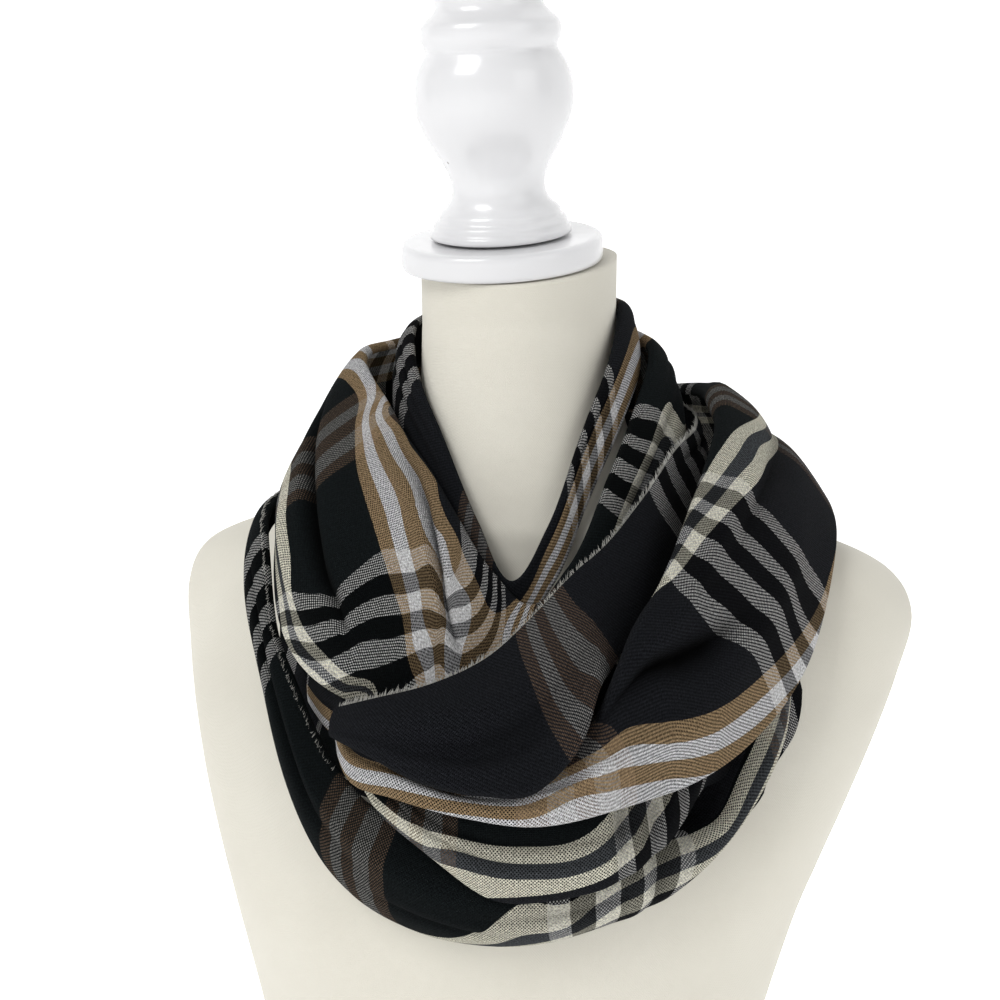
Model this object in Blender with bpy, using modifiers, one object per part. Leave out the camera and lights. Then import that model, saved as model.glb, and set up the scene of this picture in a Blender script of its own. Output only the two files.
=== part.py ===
"""A plaid loop scarf wound twice round a limbless dress form.

The form stands on its flat base at the origin, front towards -Y, +Z up.
Each stretch of the scarf that shows is one closed cloth ring round the neck.
A ring is lofted through section rows: at each azimuth (degrees, 0 is the
front, positive towards +X) the cloth runs from its top point over its belly
to its low point, each given as a radius from the neck axis and a height.
Fold rows then raise ridges and press valleys along the ring.
"""
import math

import bpy
import numpy as np

MM = 0.001

WALL = 1.6
AROUND = 46
ACROSS = 9
LIP_STEPS = 2
SMALL = 0.3

FORM_AROUND = 44
FORM_STEPS = 26
# height, half width, shift to +X, front depth, back depth, squareness
FORM_COLUMNS = ("z", "half", "side", "front", "back", "square")
FORM_ROWS = (
    (0, 128, -6, 94, 84, 2.1),
    (45, 130, -6, 97, 82, 2.1),
    (120, 138, -5, 108, 82, 2.2),
    (200, 154, -3, 121, 90, 2.3),
    (240, 165, -1, 123, 95, 2.3),
    (272, 175, 1, 116, 98, 2.3),
    (304, 185, 3, 103, 100, 2.2),
    (332, 192, 5, 89, 100, 2.05),
    (362, 196, 7, 76, 98, 1.9),
    (384, 185, 6, 67, 93, 1.85),
    (398, 156, 4, 64, 86, 1.85),
    (408, 114, 2, 63, 78, 2.0),
    (420, 80, 0, 60, 68, 2.0),
    (446, 60, 0, 56, 57, 2.0),
    (475, 52, 0, 54, 50, 2.0),
    (506, 50, 0, 54, 44, 2.0),
)
NECK_TOP_Z = 540.0
NECK_HALF = 50.0
NECK_FRONT = 58.0
NECK_BACK = 38.0
NECK_LEAN = math.radians(14.0)
NECK_TILT = math.radians(-0.5)
CAP_SHIFT = -7.0

CAP_RADIUS = 51.0
CAP_HEIGHT = 13.0
# radius and height of the finial's turned outline, from its foot
FINIAL_COLUMNS = ("radius", "height")
FINIAL_ROWS = (
    (35.5, 0.0),
    (35.5, 4.0),
    (33.5, 5.5),
    (33.5, 8.5),
    (30.5, 10.0),
    (30.5, 13.0),
    (24.5, 17.5),
    (22.5, 25.0),
    (25.0, 34.0),
    (32.5, 46.0),
    (38.0, 58.0),
    (39.0, 69.0),
    (36.5, 80.0),
    (31.0, 87.5),
    (32.5, 90.0),
    (34.0, 94.0),
    (33.2, 99.5),
    (29.0, 102.5),
    (25.0, 106.5),
    (25.5, 114.0),
    (23.5, 122.0),
    (14.0, 130.0),
)
TURN_STEPS = 24

RING_COLUMNS = ("az", "top_r", "top_z", "belly_r", "belly_z", "low_r", "low_z", "lip")
FOLD_COLUMNS = ("across", "width", "height", "az", "span", "drift")

COLLAR_ROWS = (
    (-150, 53, 517, 62, 509, 64, 490, 1.6),
    (-110, 56, 512, 64, 503, 66, 484, 1.6),
    (-75, 57, 500, 64, 490, 66, 470, 1.6),
    (-50, 59, 477, 64, 467, 66, 448, 1.6),
    (-25, 64, 449, 68, 440, 70, 422, 1.6),
    (-5, 75, 413, 79, 403, 82, 388, 1.6),
    (8, 88, 389, 90, 382, 92, 370, 1.6),
    (20, 79, 412, 83, 402, 86, 388, 1.6),
    (35, 68, 449, 71, 439, 73, 420, 1.6),
    (55, 62, 484, 66, 473, 67, 454, 1.6),
    (85, 54.2, 512, 60, 502, 63, 483, 1.6),
    (115, 54, 519, 61, 511, 63, 492, 1.6),
    (150, 51, 520, 60, 512, 62, 492, 1.6),
)
COLLAR_FOLDS = (
    (0.50, 0.18, -1.5, -60, 50, 0.05),
    (0.55, 0.18, -1.5, 62, 45, 0.05),
    (0.50, 0.18, -2.0, 180, 60, 0.0),
)

INNER_ROWS = (
    (-150, 75, 502, 91, 485, 93, 458, 3),
    (-110, 82, 496, 99, 474, 105, 444, 3),
    (-75, 84, 487, 102, 466, 113, 434, 3),
    (-55, 76, 469, 116, 441, 131, 403, 3),
    (-38, 77, 452, 120, 412, 145, 370, 3.5),
    (-25, 79, 438, 116, 396, 150, 357, 3.5),
    (-12, 85, 420, 112, 384, 145, 347, 3),
    (3, 96, 394, 115, 366, 136, 340, 2.6),
    (13, 102, 381, 116, 360, 129, 340, 2.6),
    (24, 97, 397, 108, 380, 117, 358, 2.6),
    (41, 84, 434, 94, 418, 101, 394, 2.6),
    (60, 76, 462, 86, 446, 91, 422, 3),
    (85, 73, 490, 83, 474, 87, 450, 3),
    (115, 69.8, 500, 81, 484, 86, 458, 3),
    (150, 73, 503, 86, 485, 89, 458, 3),
)
INNER_FOLDS = (
    (0.22, 0.07, -5.0, -40, 30, -0.02),
    (0.42, 0.08, -8.0, -44, 22, 0.10),
    (0.62, 0.10, 4.0, -38, 24, 0.06),
    (0.82, 0.08, -3.5, -28, 22, 0.06),
    (0.55, 0.14, -2.5, 62, 40, 0.05),
    (0.50, 0.14, -3.0, 180, 60, 0.0),
)

CROSSING_ROWS = (
    (-21, 154, 345, 157, 340, 158, 335, 2),
    (-13, 154, 353, 160, 345, 164, 334, 2.5),
    (-4, 147, 360, 161, 347, 170, 329, 3),
    (5, 140, 371, 158, 351, 173, 327, 3),
    (13, 132, 387, 152, 366, 173, 330, 3),
    (19, 126, 399, 146, 380, 170, 351, 3),
    (22, 123, 404, 141, 386, 158, 365, 3),
    (26, 120, 409, 133, 392, 145, 370, 3),
    (40, 108, 428, 117, 410, 121, 388, 3),
    (60, 95, 446, 100, 433, 103, 414, 3),
    (85, 93, 455, 98, 443, 99, 428, 3),
    (118, 94, 462, 100, 449, 100, 430, 3),
    (155, 98, 472, 105, 456, 105, 430, 3),
    (190, 102, 474, 110, 457, 110, 432, 3),
    (215, 108, 464, 116, 449, 116, 430, 3),
    (235, 113, 444, 118, 437, 118, 427, 3),
    (252, 109, 427, 114, 423, 116, 418, 2.5),
    (264, 101, 425, 106, 423, 109, 419, 2.5),
)
CROSSING_FOLDS = (
    (0.45, 0.16, 2.0, 2, 16, 0.15),
    (0.70, 0.10, -2.5, 8, 14, -0.10),
    (0.50, 0.14, -3.0, 180, 40, 0.0),
)

RIGHT_ROWS = (
    (-41, 126, 350, 129, 341, 129, 330, 3),
    (-33, 130, 346, 133, 336, 133, 325, 3),
    (-27, 134, 342, 137, 333, 138, 323, 3),
    (-22, 143, 339, 148, 330, 149, 320, 3),
    (-18, 149, 337, 155, 327, 157, 317, 3),
    (-8, 155, 333, 163, 325, 166, 315, 3),
    (3, 157, 325, 166, 317, 169, 309, 3),
    (13, 158, 326, 168, 318, 172, 307, 3),
    (19, 160, 339, 170, 325, 174, 310, 3),
    (22, 162, 351, 171, 334, 175, 312, 3),
    (25, 161, 368, 171, 344, 175, 314, 3.5),
    (28, 156, 381, 169, 354, 175, 317, 4),
    (35, 146, 398, 165, 370, 173, 325, 4),
    (46, 132, 425, 158, 394, 171, 336, 4),
    (60, 119, 447, 150, 423, 169, 360, 5),
    (74, 113, 462, 141, 439, 165, 396, 5),
    (90, 108, 473, 134, 452, 160, 417, 7),
    (118, 111, 472, 130, 451, 140, 426, 5),
    (150, 120, 466, 132, 444, 130, 414, 4),
    (180, 124, 458, 136, 438, 132, 408, 4),
    (210, 128, 450, 138, 432, 136, 410, 4),
    (232, 132, 436, 138, 427, 137, 414, 3),
    (250, 128, 424, 132, 421, 134, 415, 3),
)
RIGHT_FOLDS = (
    (0.22, 0.09, 3.0, 52, 22, 0.0),
    (0.48, 0.09, -7.0, 42, 18, -0.24),
    (0.72, 0.10, 3.5, 46, 24, -0.12),
    (0.50, 0.12, -4.0, 96, 26, 0.05),
    (0.50, 0.14, -4.0, 180, 40, 0.0),
)

LOWER_ROWS = (
    (-38, 127, 322, 131, 311, 131, 300, 2.5),
    (-30, 128, 325.2, 132, 313, 132, 301, 2.8),
    (-24, 131, 330, 135, 318, 135, 305, 3),
    (-18, 138, 330, 147, 321, 148, 311, 3),
    (-13, 142, 326, 151, 315, 155, 305, 3),
    (-3, 149, 315, 160, 301, 158, 287, 3),
    (6, 151, 314, 162, 294, 159, 272, 3),
    (16, 152, 314, 165, 295, 163, 274, 3),
    (26, 151, 319, 165, 301, 165, 282, 3),
    (36, 148, 334, 161, 317, 160, 298, 3),
    (40, 146, 340, 158, 325, 155, 306, 3),
    (43, 144, 346, 154, 329, 150, 307, 3),
    (50, 141, 356, 150, 339, 148, 311, 3),
    (58, 135, 376, 144, 362, 146, 346, 2.5),
    (68, 123, 404, 131, 400, 135, 395, 2.5),
)
LOWER_FOLDS = (
    (0.42, 0.12, -3.5, 6, 20, 0.12),
    (0.58, 0.14, 2.0, 28, 10, 0.10),
)

BOTTOM_ROWS = (
    (-86, 99, 425, 105, 422, 111, 418, 2),
    (-72, 123, 421, 128, 417, 131, 411, 2.5),
    (-61, 135, 416, 140, 409, 141, 400, 2.5),
    (-50, 142, 398, 148.5, 388, 150, 375, 2.5),
    (-43, 146, 367, 151, 358, 151, 345, 2.5),
    (-36, 147, 345, 154, 328, 151, 304, 3),
    (-28, 146, 317, 156, 297, 150, 273, 3),
    (-20, 145, 299, 156, 279, 148, 256, 3.5),
    (-9, 142, 289, 157, 267, 140, 241, 4),
    (2, 141, 281, 156, 259, 136, 236, 4),
    (14, 143, 280, 157, 260, 139, 239, 4),
    (26, 147, 286, 161, 269, 146, 250, 4),
    (36, 148, 289, 162, 276, 150, 260, 3.5),
    (40, 153, 289, 163, 280, 151, 267, 3),
    (43, 159, 294, 165, 287, 153, 273, 3),
    (49, 160, 315, 167, 306, 158, 291, 3),
    (55, 159, 340, 167, 330, 162, 315, 3),
    (60, 154, 358, 161, 347, 158, 332, 3),
    (65, 146, 379, 153, 370, 152.2, 357, 3),
    (72, 138, 407, 146, 402, 148, 394, 2.5),
    (80, 126, 425, 134, 422, 138, 416, 2.5),
)
BOTTOM_FOLDS = (
    (0.42, 0.12, -4.5, -34, 13, 0.20),
    (0.30, 0.12, 2.0, -18, 16, 0.0),
    (0.50, 0.14, -3.0, 16, 16, -0.05),
)

UNDER_ROWS = (
    (-64, 116, 402, 120, 394, 126, 383, 2),
    (-58, 111, 401, 117, 388, 126, 369, 2),
    (-48, 112, 392, 115, 371, 120, 345, 2),
    (-40, 110, 386, 112, 360, 115, 330, 2),
    (-32, 108, 382, 111, 353, 115, 316, 2),
    (-24, 106, 377, 112, 343, 119, 302, 2),
    (-12, 104, 366, 113, 331, 120, 289, 2),
    (2, 102, 360, 111, 325, 114.8, 284, 2),
    (14, 102, 361, 114, 325, 120, 285, 2),
    (24, 104, 361, 116, 325, 126, 287, 2),
    (32, 103, 353, 118, 322, 131, 290, 2),
    (40, 108, 354, 122, 325, 136, 293, 2),
    (48, 117, 352, 128.5, 328, 143.5, 298, 2),
    (56, 126, 357, 138, 336, 151, 311, 2),
    (60, 139, 348, 145, 337, 153, 322, 2),
)
UNDER_FOLDS = (
    (0.45, 0.16, 1.5, -34, 16, 0.0),
    (0.55, 0.16, 1.5, 26, 12, 0.0),
)

# name, section rows, fold rows, raw top edge, the low hem's roll against the top one, colour
RINGS = (
    ("scarf_under_layer", UNDER_ROWS, UNDER_FOLDS, True, 0.5, (0.05, 0.05, 0.06)),
    ("scarf_collar", COLLAR_ROWS, COLLAR_FOLDS, False, 1.0, (0.10, 0.10, 0.11)),
    ("scarf_inner_cowl", INNER_ROWS, INNER_FOLDS, False, 1.0, (0.16, 0.13, 0.10)),
    ("scarf_crossing", CROSSING_ROWS, CROSSING_FOLDS, True, 1.0, (0.06, 0.06, 0.07)),
    ("scarf_right_cowl", RIGHT_ROWS, RIGHT_FOLDS, False, 0.7, (0.12, 0.14, 0.14)),
    ("scarf_lower_fold", LOWER_ROWS, LOWER_FOLDS, False, 1.0, (0.30, 0.30, 0.28)),
    ("scarf_bottom_roll", BOTTOM_ROWS, BOTTOM_FOLDS, False, 1.4, (0.08, 0.10, 0.10)),
)
FRONT_CROWD = 30.0
CLOSED_START = -150


def clear_scene():
    """Remove whatever the open file holds."""
    for thing in list(bpy.data.objects):
        bpy.data.objects.remove(thing, do_unlink=True)


def plain_material(name, colour, roughness):
    """A Principled material of one colour."""
    material = bpy.data.materials.new(name)
    material.use_nodes = True
    shader = material.node_tree.nodes["Principled BSDF"]
    shader.inputs["Base Color"].default_value = (*colour, 1.0)
    shader.inputs["Roughness"].default_value = roughness
    shader.inputs["Metallic"].default_value = 0.0
    return material


def add_mesh(name, points, faces, material, collection):
    """A mesh object from points in millimetres."""
    mesh = bpy.data.meshes.new(name)
    mesh.from_pydata((np.asarray(points) * MM).tolist(), [], faces)
    mesh.update()
    mesh.shade_smooth()
    thing = bpy.data.objects.new(name, mesh)
    thing.data.materials.append(material)
    collection.objects.link(thing)
    return thing


def smooth_rows(keys, values, at, period=None):
    """Cubic curve through rows of values, closed on itself where a period is given."""
    keys = np.asarray(keys, float)
    values = np.asarray(values, float)
    at = np.asarray(at, float)
    if period:
        at = (at - keys[0]) % period + keys[0]
        keys = np.concatenate([keys[-2:] - period, keys, keys[:2] + period])
        values = np.concatenate([values[-2:], values, values[:2]])
    slopes = np.gradient(values, keys, axis=0)
    low = np.clip(np.searchsorted(keys, at, side="right") - 1, 0, len(keys) - 2)
    gap = (keys[low + 1] - keys[low])[:, None]
    t = (at - keys[low])[:, None] / gap
    return (
        values[low] * (2 * t**3 - 3 * t**2 + 1)
        + slopes[low] * gap * (t**3 - 2 * t**2 + t)
        + values[low + 1] * (3 * t**2 - 2 * t**3)
        + slopes[low + 1] * gap * (t**3 - t**2)
    )


def is_closed(rows):
    """Whether a stretch goes all the way round: its rows then start at the back."""
    return rows[0][0] == CLOSED_START


def ring_azimuths(rows):
    """Azimuths along a stretch, in degrees, set closer together at the front."""
    turn = np.arange(AROUND + 1) / AROUND
    crowded = 360 * turn - FRONT_CROWD * np.sin(2 * math.pi * turn)
    if is_closed(rows):
        return crowded[:-1]
    first, last = rows[0][0], rows[-1][0]
    whole = np.concatenate([crowded[:-1] - 360, crowded])
    inside = whole[(whole > first + 2) & (whole < last - 2)]
    return np.concatenate([[first], inside, [last]])


def fold_height(folds, across, az):
    """How far the folds raise the cloth, in millimetres."""
    raised = np.zeros(np.broadcast(across, az).shape)
    for centre, width, height, az_mid, span, drift in folds:
        turned = (az - az_mid + 180) % 360 - 180
        offset = np.abs(across - centre - drift * turned / 90) / width
        power = 2.0 if height > 0 else 1.4
        raised += height * np.exp(-(offset**power) - (turned / span) ** 2)
    return raised


def ring_profile(rows, folds, raw_top, hem, azimuths, across_count):
    """Radius and height of the cloth, one row of points for each azimuth."""
    keys = [row[0] for row in rows]
    period = 360 if is_closed(rows) else None
    sized = smooth_rows(keys, [row[1:] for row in rows], azimuths, period)
    top, belly, low = sized[:, 0:2], sized[:, 2:4], sized[:, 4:6]
    v = np.linspace(0, 1, across_count + 1)[None, :, None]
    top, belly, low = top[:, None], belly[:, None], low[:, None]
    line = top * (1 - v) * (1 - 2 * v) + belly * 4 * v * (1 - v) + low * v * (2 * v - 1)
    along = top * (4 * v - 3) + belly * (4 - 8 * v) + low * (4 * v - 1)
    along /= np.linalg.norm(along, axis=2, keepdims=True)
    out = np.stack([-along[..., 1], along[..., 0]], axis=2)
    line = line + out * fold_height(folds, v[..., 0], azimuths[:, None])[..., None]
    bends = np.linspace(1, 0, LIP_STEPS, endpoint=False) * math.radians(150)
    radius = sized[:, 6][:, None, None]
    pieces = [line]
    if not raw_top:
        pieces.insert(0, lip(line[:, :1], out[:, :1], -along[:, :1], radius, bends))
    pieces.append(lip(line[:, -1:], out[:, -1:], along[:, -1:], radius * hem, bends[::-1]))
    return np.concatenate(pieces, axis=1)


def lip(edge, out, away, radius, bends):
    """A hem's roll: from the edge round a circle towards the cloth's inner side."""
    turn = bends[None, :, None]
    return edge - out * radius * (1 - np.cos(turn)) + away * radius * np.sin(turn)


def ring_points(profile, azimuths):
    """Places of a ring's points, from radius, height and azimuth."""
    angle = np.radians(azimuths)[:, None]
    radius = profile[..., 0]
    x = radius * np.sin(angle)
    y = -radius * np.cos(angle)
    return np.stack([x, y, profile[..., 1]], axis=2)


def loft_faces(rows, columns, closed):
    """Quads between sections, back to the first one where the ring is closed."""
    faces = []
    for i in range(rows if closed else rows - 1):
        j = (i + 1) % rows
        for k in range(columns - 1):
            faces.append((i * columns + k, i * columns + k + 1, j * columns + k + 1, j * columns + k))
    return faces


def add_ring(name, rows, folds, raw_top, hem, colour, collection):
    """One stretch of the scarf, a cloth wall round the neck."""
    azimuths = ring_azimuths(rows)
    profile = ring_profile(rows, folds, raw_top, hem, azimuths, ACROSS)
    points = ring_points(profile, azimuths)
    faces = loft_faces(*points.shape[:2], is_closed(rows))
    material = plain_material(name, colour, 0.9)
    ring = add_mesh(name, points.reshape(-1, 3), faces, material, collection)
    wall = ring.modifiers.new("wall", "SOLIDIFY")
    wall.thickness = WALL * MM
    wall.offset = 0.0
    wall.use_even_offset = False
    return ring


def form_section(z, half, shift, front, back, square):
    """One level section of the form, a squared oval."""
    turn = np.arange(FORM_AROUND) * 2 * math.pi / FORM_AROUND
    side = np.sign(np.sin(turn)) * np.abs(np.sin(turn)) ** (2 / square)
    deep = np.sign(-np.cos(turn)) * np.abs(np.cos(turn)) ** (2 / square)
    depth = np.where(deep < 0, front, back)
    return np.stack([shift + half * side, depth * deep, np.full(FORM_AROUND, z)], axis=1)


def neck_top_section():
    """The neck's upper edge, level with the leaning cap."""
    ring = form_section(0, NECK_HALF, 0, NECK_FRONT, NECK_BACK, 2.0)
    ring[:, 2] = NECK_TOP_Z + np.tan(NECK_LEAN) * ring[:, 1] - np.tan(NECK_TILT) * ring[:, 0]
    return ring


def add_form(collection):
    """The dress form, lofted from base to neck, with flat ends."""
    keys = np.arange(len(FORM_ROWS))
    at = np.linspace(0, len(FORM_ROWS) - 1, FORM_STEPS)
    sections = [form_section(*row) for row in smooth_rows(keys, FORM_ROWS, at)]
    sections.append(neck_top_section())
    points = np.concatenate(sections)
    count = FORM_AROUND
    faces = []
    for i in range(len(sections) - 1):
        for k in range(count):
            m = (k + 1) % count
            faces.append((i * count + k, i * count + m, (i + 1) * count + m, (i + 1) * count + k))
    faces.append(tuple(range(count))[::-1])
    faces.append(tuple(range((len(sections) - 1) * count, len(sections) * count)))
    material = plain_material("form_body", (0.62, 0.59, 0.50), 0.85)
    return add_mesh("form_body", points, faces, material, collection)


def neck_frame():
    """Place and turn of the cap's foot on the leaning neck."""
    centre_y = (NECK_BACK - NECK_FRONT) / 2
    lift = SMALL / math.cos(NECK_LEAN)
    rise = math.tan(NECK_LEAN) * centre_y - math.tan(NECK_TILT) * CAP_SHIFT
    place = (CAP_SHIFT, centre_y, NECK_TOP_Z + rise + lift)
    return place, (NECK_LEAN, NECK_TILT, 0.0)


def add_turned(name, outline, place, turn, material, collection):
    """A solid turned from (radius, height) pairs about its own upright axis."""
    points = [(0.0, 0.0, outline[-1][1])]
    points += [(radius, 0.0, height) for radius, height in reversed(outline)]
    points.append((0.0, 0.0, outline[0][1]))
    edges = [(i, i + 1) for i in range(len(points) - 1)]
    mesh = bpy.data.meshes.new(name)
    mesh.from_pydata((np.asarray(points) * MM).tolist(), edges, [])
    thing = bpy.data.objects.new(name, mesh)
    thing.data.materials.append(material)
    thing.location = [value * MM for value in place]
    thing.rotation_euler = turn
    collection.objects.link(thing)
    screw = thing.modifiers.new("turn", "SCREW")
    screw.steps = TURN_STEPS
    screw.render_steps = TURN_STEPS
    screw.use_merge_vertices = True
    screw.merge_threshold = 0.00005
    return thing


def add_cap_and_finial(collection):
    """The turned disc on the neck and the finial on the disc."""
    paint = plain_material("white_paint", (0.85, 0.85, 0.84), 0.2)
    place, turn = neck_frame()
    disc = ((CAP_RADIUS - 1.5, 0.0), (CAP_RADIUS, 1.5), (CAP_RADIUS, CAP_HEIGHT - 2.0))
    disc += ((CAP_RADIUS - 2.0, CAP_HEIGHT),)
    add_turned("neck_cap", disc, place, turn, paint, collection)
    lift = CAP_HEIGHT + SMALL
    up = np.array([math.sin(NECK_TILT), -math.sin(NECK_LEAN) * math.cos(NECK_TILT), 0.0])
    up[2] = math.sqrt(1 - up[0] ** 2 - up[1] ** 2)
    seat = np.asarray(place) + up * lift
    add_turned("finial", FINIAL_ROWS, seat, turn, paint, collection)


def main():
    """Build the form, its cap and finial, and the scarf."""
    clear_scene()
    collection = bpy.data.collections.new("plaid_scarf_on_dress_form")
    bpy.context.scene.collection.children.link(collection)
    add_form(collection)
    add_cap_and_finial(collection)
    for name, rows, folds, raw_top, hem, colour in RINGS:
        add_ring(name, rows, folds, raw_top, hem, colour, collection)


main()
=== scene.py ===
"""Looks of a plaid loop scarf wound twice round a cream dress form.

Every length in the tables is in millimetres and every angle in degrees, in
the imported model's own frame: the form stands on its base at the origin, its
front towards -Y. A stretch of the scarf is a surface of two parameters,
azimuth round the neck and place across the band. It carries two sets of
coordinates in metres: its place in the plaid, which gives the stripes, and
its own runs along and across the cloth, which give the weave.
"""
import logging
import math
from dataclasses import dataclass
from enum import Enum

import bmesh
import bpy
import numpy as np
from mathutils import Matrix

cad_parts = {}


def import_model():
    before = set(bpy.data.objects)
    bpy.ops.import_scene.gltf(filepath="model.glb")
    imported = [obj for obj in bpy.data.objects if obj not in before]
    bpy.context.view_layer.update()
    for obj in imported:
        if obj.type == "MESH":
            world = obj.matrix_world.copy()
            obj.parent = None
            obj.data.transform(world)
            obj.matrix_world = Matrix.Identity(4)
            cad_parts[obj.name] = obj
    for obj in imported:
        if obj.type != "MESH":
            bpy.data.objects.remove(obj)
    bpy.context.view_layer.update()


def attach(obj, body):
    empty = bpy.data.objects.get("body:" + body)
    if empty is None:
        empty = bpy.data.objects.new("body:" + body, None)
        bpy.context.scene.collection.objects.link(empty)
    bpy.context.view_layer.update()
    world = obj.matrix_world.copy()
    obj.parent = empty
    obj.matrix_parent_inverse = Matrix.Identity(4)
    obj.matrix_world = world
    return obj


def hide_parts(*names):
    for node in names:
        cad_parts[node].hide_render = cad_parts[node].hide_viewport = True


LOG = logging.getLogger("plaid_scarf")
MM = 0.001
HEM_TURN = math.radians(150)
RIDGE_POWER, TROUGH_POWER, CREASE_POWER = 2.0, 1.4, 1.6
# Trough depth in millimetres at which the shade painted into the cloth's colour in creases is
# darkest.
FULL_PAINTED_SHADE_DEPTH = 7.0
MERGE_DISTANCE = 1e-7

Array = np.ndarray


class Yarn(Enum):
    """Dyed yarns of the scarf, as linear colours."""

    SLATE = (0.0120, 0.0130, 0.0155)
    COAL = (0.0042, 0.0046, 0.0056)
    PINE = (0.0066, 0.0092, 0.0095)
    BLACK = (0.0014, 0.0014, 0.0017)
    WHITE = (0.600, 0.600, 0.610)
    CREAM = (0.640, 0.620, 0.510)
    TAN = (0.285, 0.200, 0.112)
    GREY = (0.060, 0.065, 0.070)
    ASH = (0.440, 0.436, 0.424)
    SMOKE = (0.230, 0.222, 0.210)
    BROWN = (0.105, 0.070, 0.048)


@dataclass(frozen=True)
class Stripe:
    """One stripe of the plaid: its yarn and its width in millimetres."""

    yarn: Yarn
    width: float


def band(*pairs: tuple[Yarn, float]) -> tuple[Stripe, ...]:
    """A run of stripes, in order.

    Args:
        pairs: yarn and width of each stripe.

    Returns:
        The stripes.
    """
    return tuple(Stripe(yarn, width) for yarn, width in pairs)


TAN_GROUP = band(
    (Yarn.TAN, 7.3), (Yarn.WHITE, 7.3), (Yarn.TAN, 7.3), (Yarn.WHITE, 7.3), (Yarn.TAN, 7.3)
)
CREAM_GROUP = band((Yarn.CREAM, 7.5), (Yarn.GREY, 7.0), (Yarn.CREAM, 7.5))
DUSK_GROUP = band(
    (Yarn.BROWN, 7.3), (Yarn.SMOKE, 7.3), (Yarn.BROWN, 7.3), (Yarn.SMOKE, 7.3), (Yarn.BROWN, 7.3)
)
BAR_GROUP = band(
    (Yarn.ASH, 8.0),
    (Yarn.BLACK, 9.5),
    (Yarn.ASH, 8.0),
    (Yarn.BLACK, 9.5),
    (Yarn.ASH, 8.0),
    (Yarn.BLACK, 9.5),
    (Yarn.ASH, 8.0),
)


@dataclass(frozen=True)
class Sett:
    """The plaid's two orders of stripes, each repeated without end."""

    along: tuple[Stripe, ...]
    cross: tuple[Stripe, ...]


SETT = Sett(
    along=TAN_GROUP + band((Yarn.PINE, 55.0)) + CREAM_GROUP + band((Yarn.SLATE, 60.0)),
    cross=BAR_GROUP
    + band((Yarn.COAL, 70.0))
    + DUSK_GROUP
    + band((Yarn.COAL, 70.0))
    + BAR_GROUP
    + band((Yarn.COAL, 60.0))
    + DUSK_GROUP
    + band((Yarn.COAL, 60.0)),
)


def run_length(stripes: tuple[Stripe, ...]) -> float:
    """Length of a run of stripes, in millimetres."""
    return sum(stripe.width for stripe in stripes)


@dataclass(frozen=True)
class Fold:
    """A soft ridge or trough along a stretch.

    Attributes:
        across: its line, from 0 at the top hem to 1 at the low one.
        width: half its breadth, as a share of the band.
        height: how far it stands out, or is pressed in when negative.
        az: azimuth of its middle.
        span: azimuth over which it fades.
        drift: how far its line slides across the band in 90 degrees.
    """

    across: float
    width: float
    height: float
    az: float
    span: float
    drift: float = 0.0


@dataclass(frozen=True)
class Crease:
    """A sharper fold that follows a line of its own along a stretch.

    Attributes:
        path: rows of azimuth, place across the band, half breadth as a share
            of the band, and height, which is negative in a trough.
        steep: breadth of its lower side against its upper one.
    """

    path: tuple[tuple[float, float, float, float], ...]
    steep: float = 1.0


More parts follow.
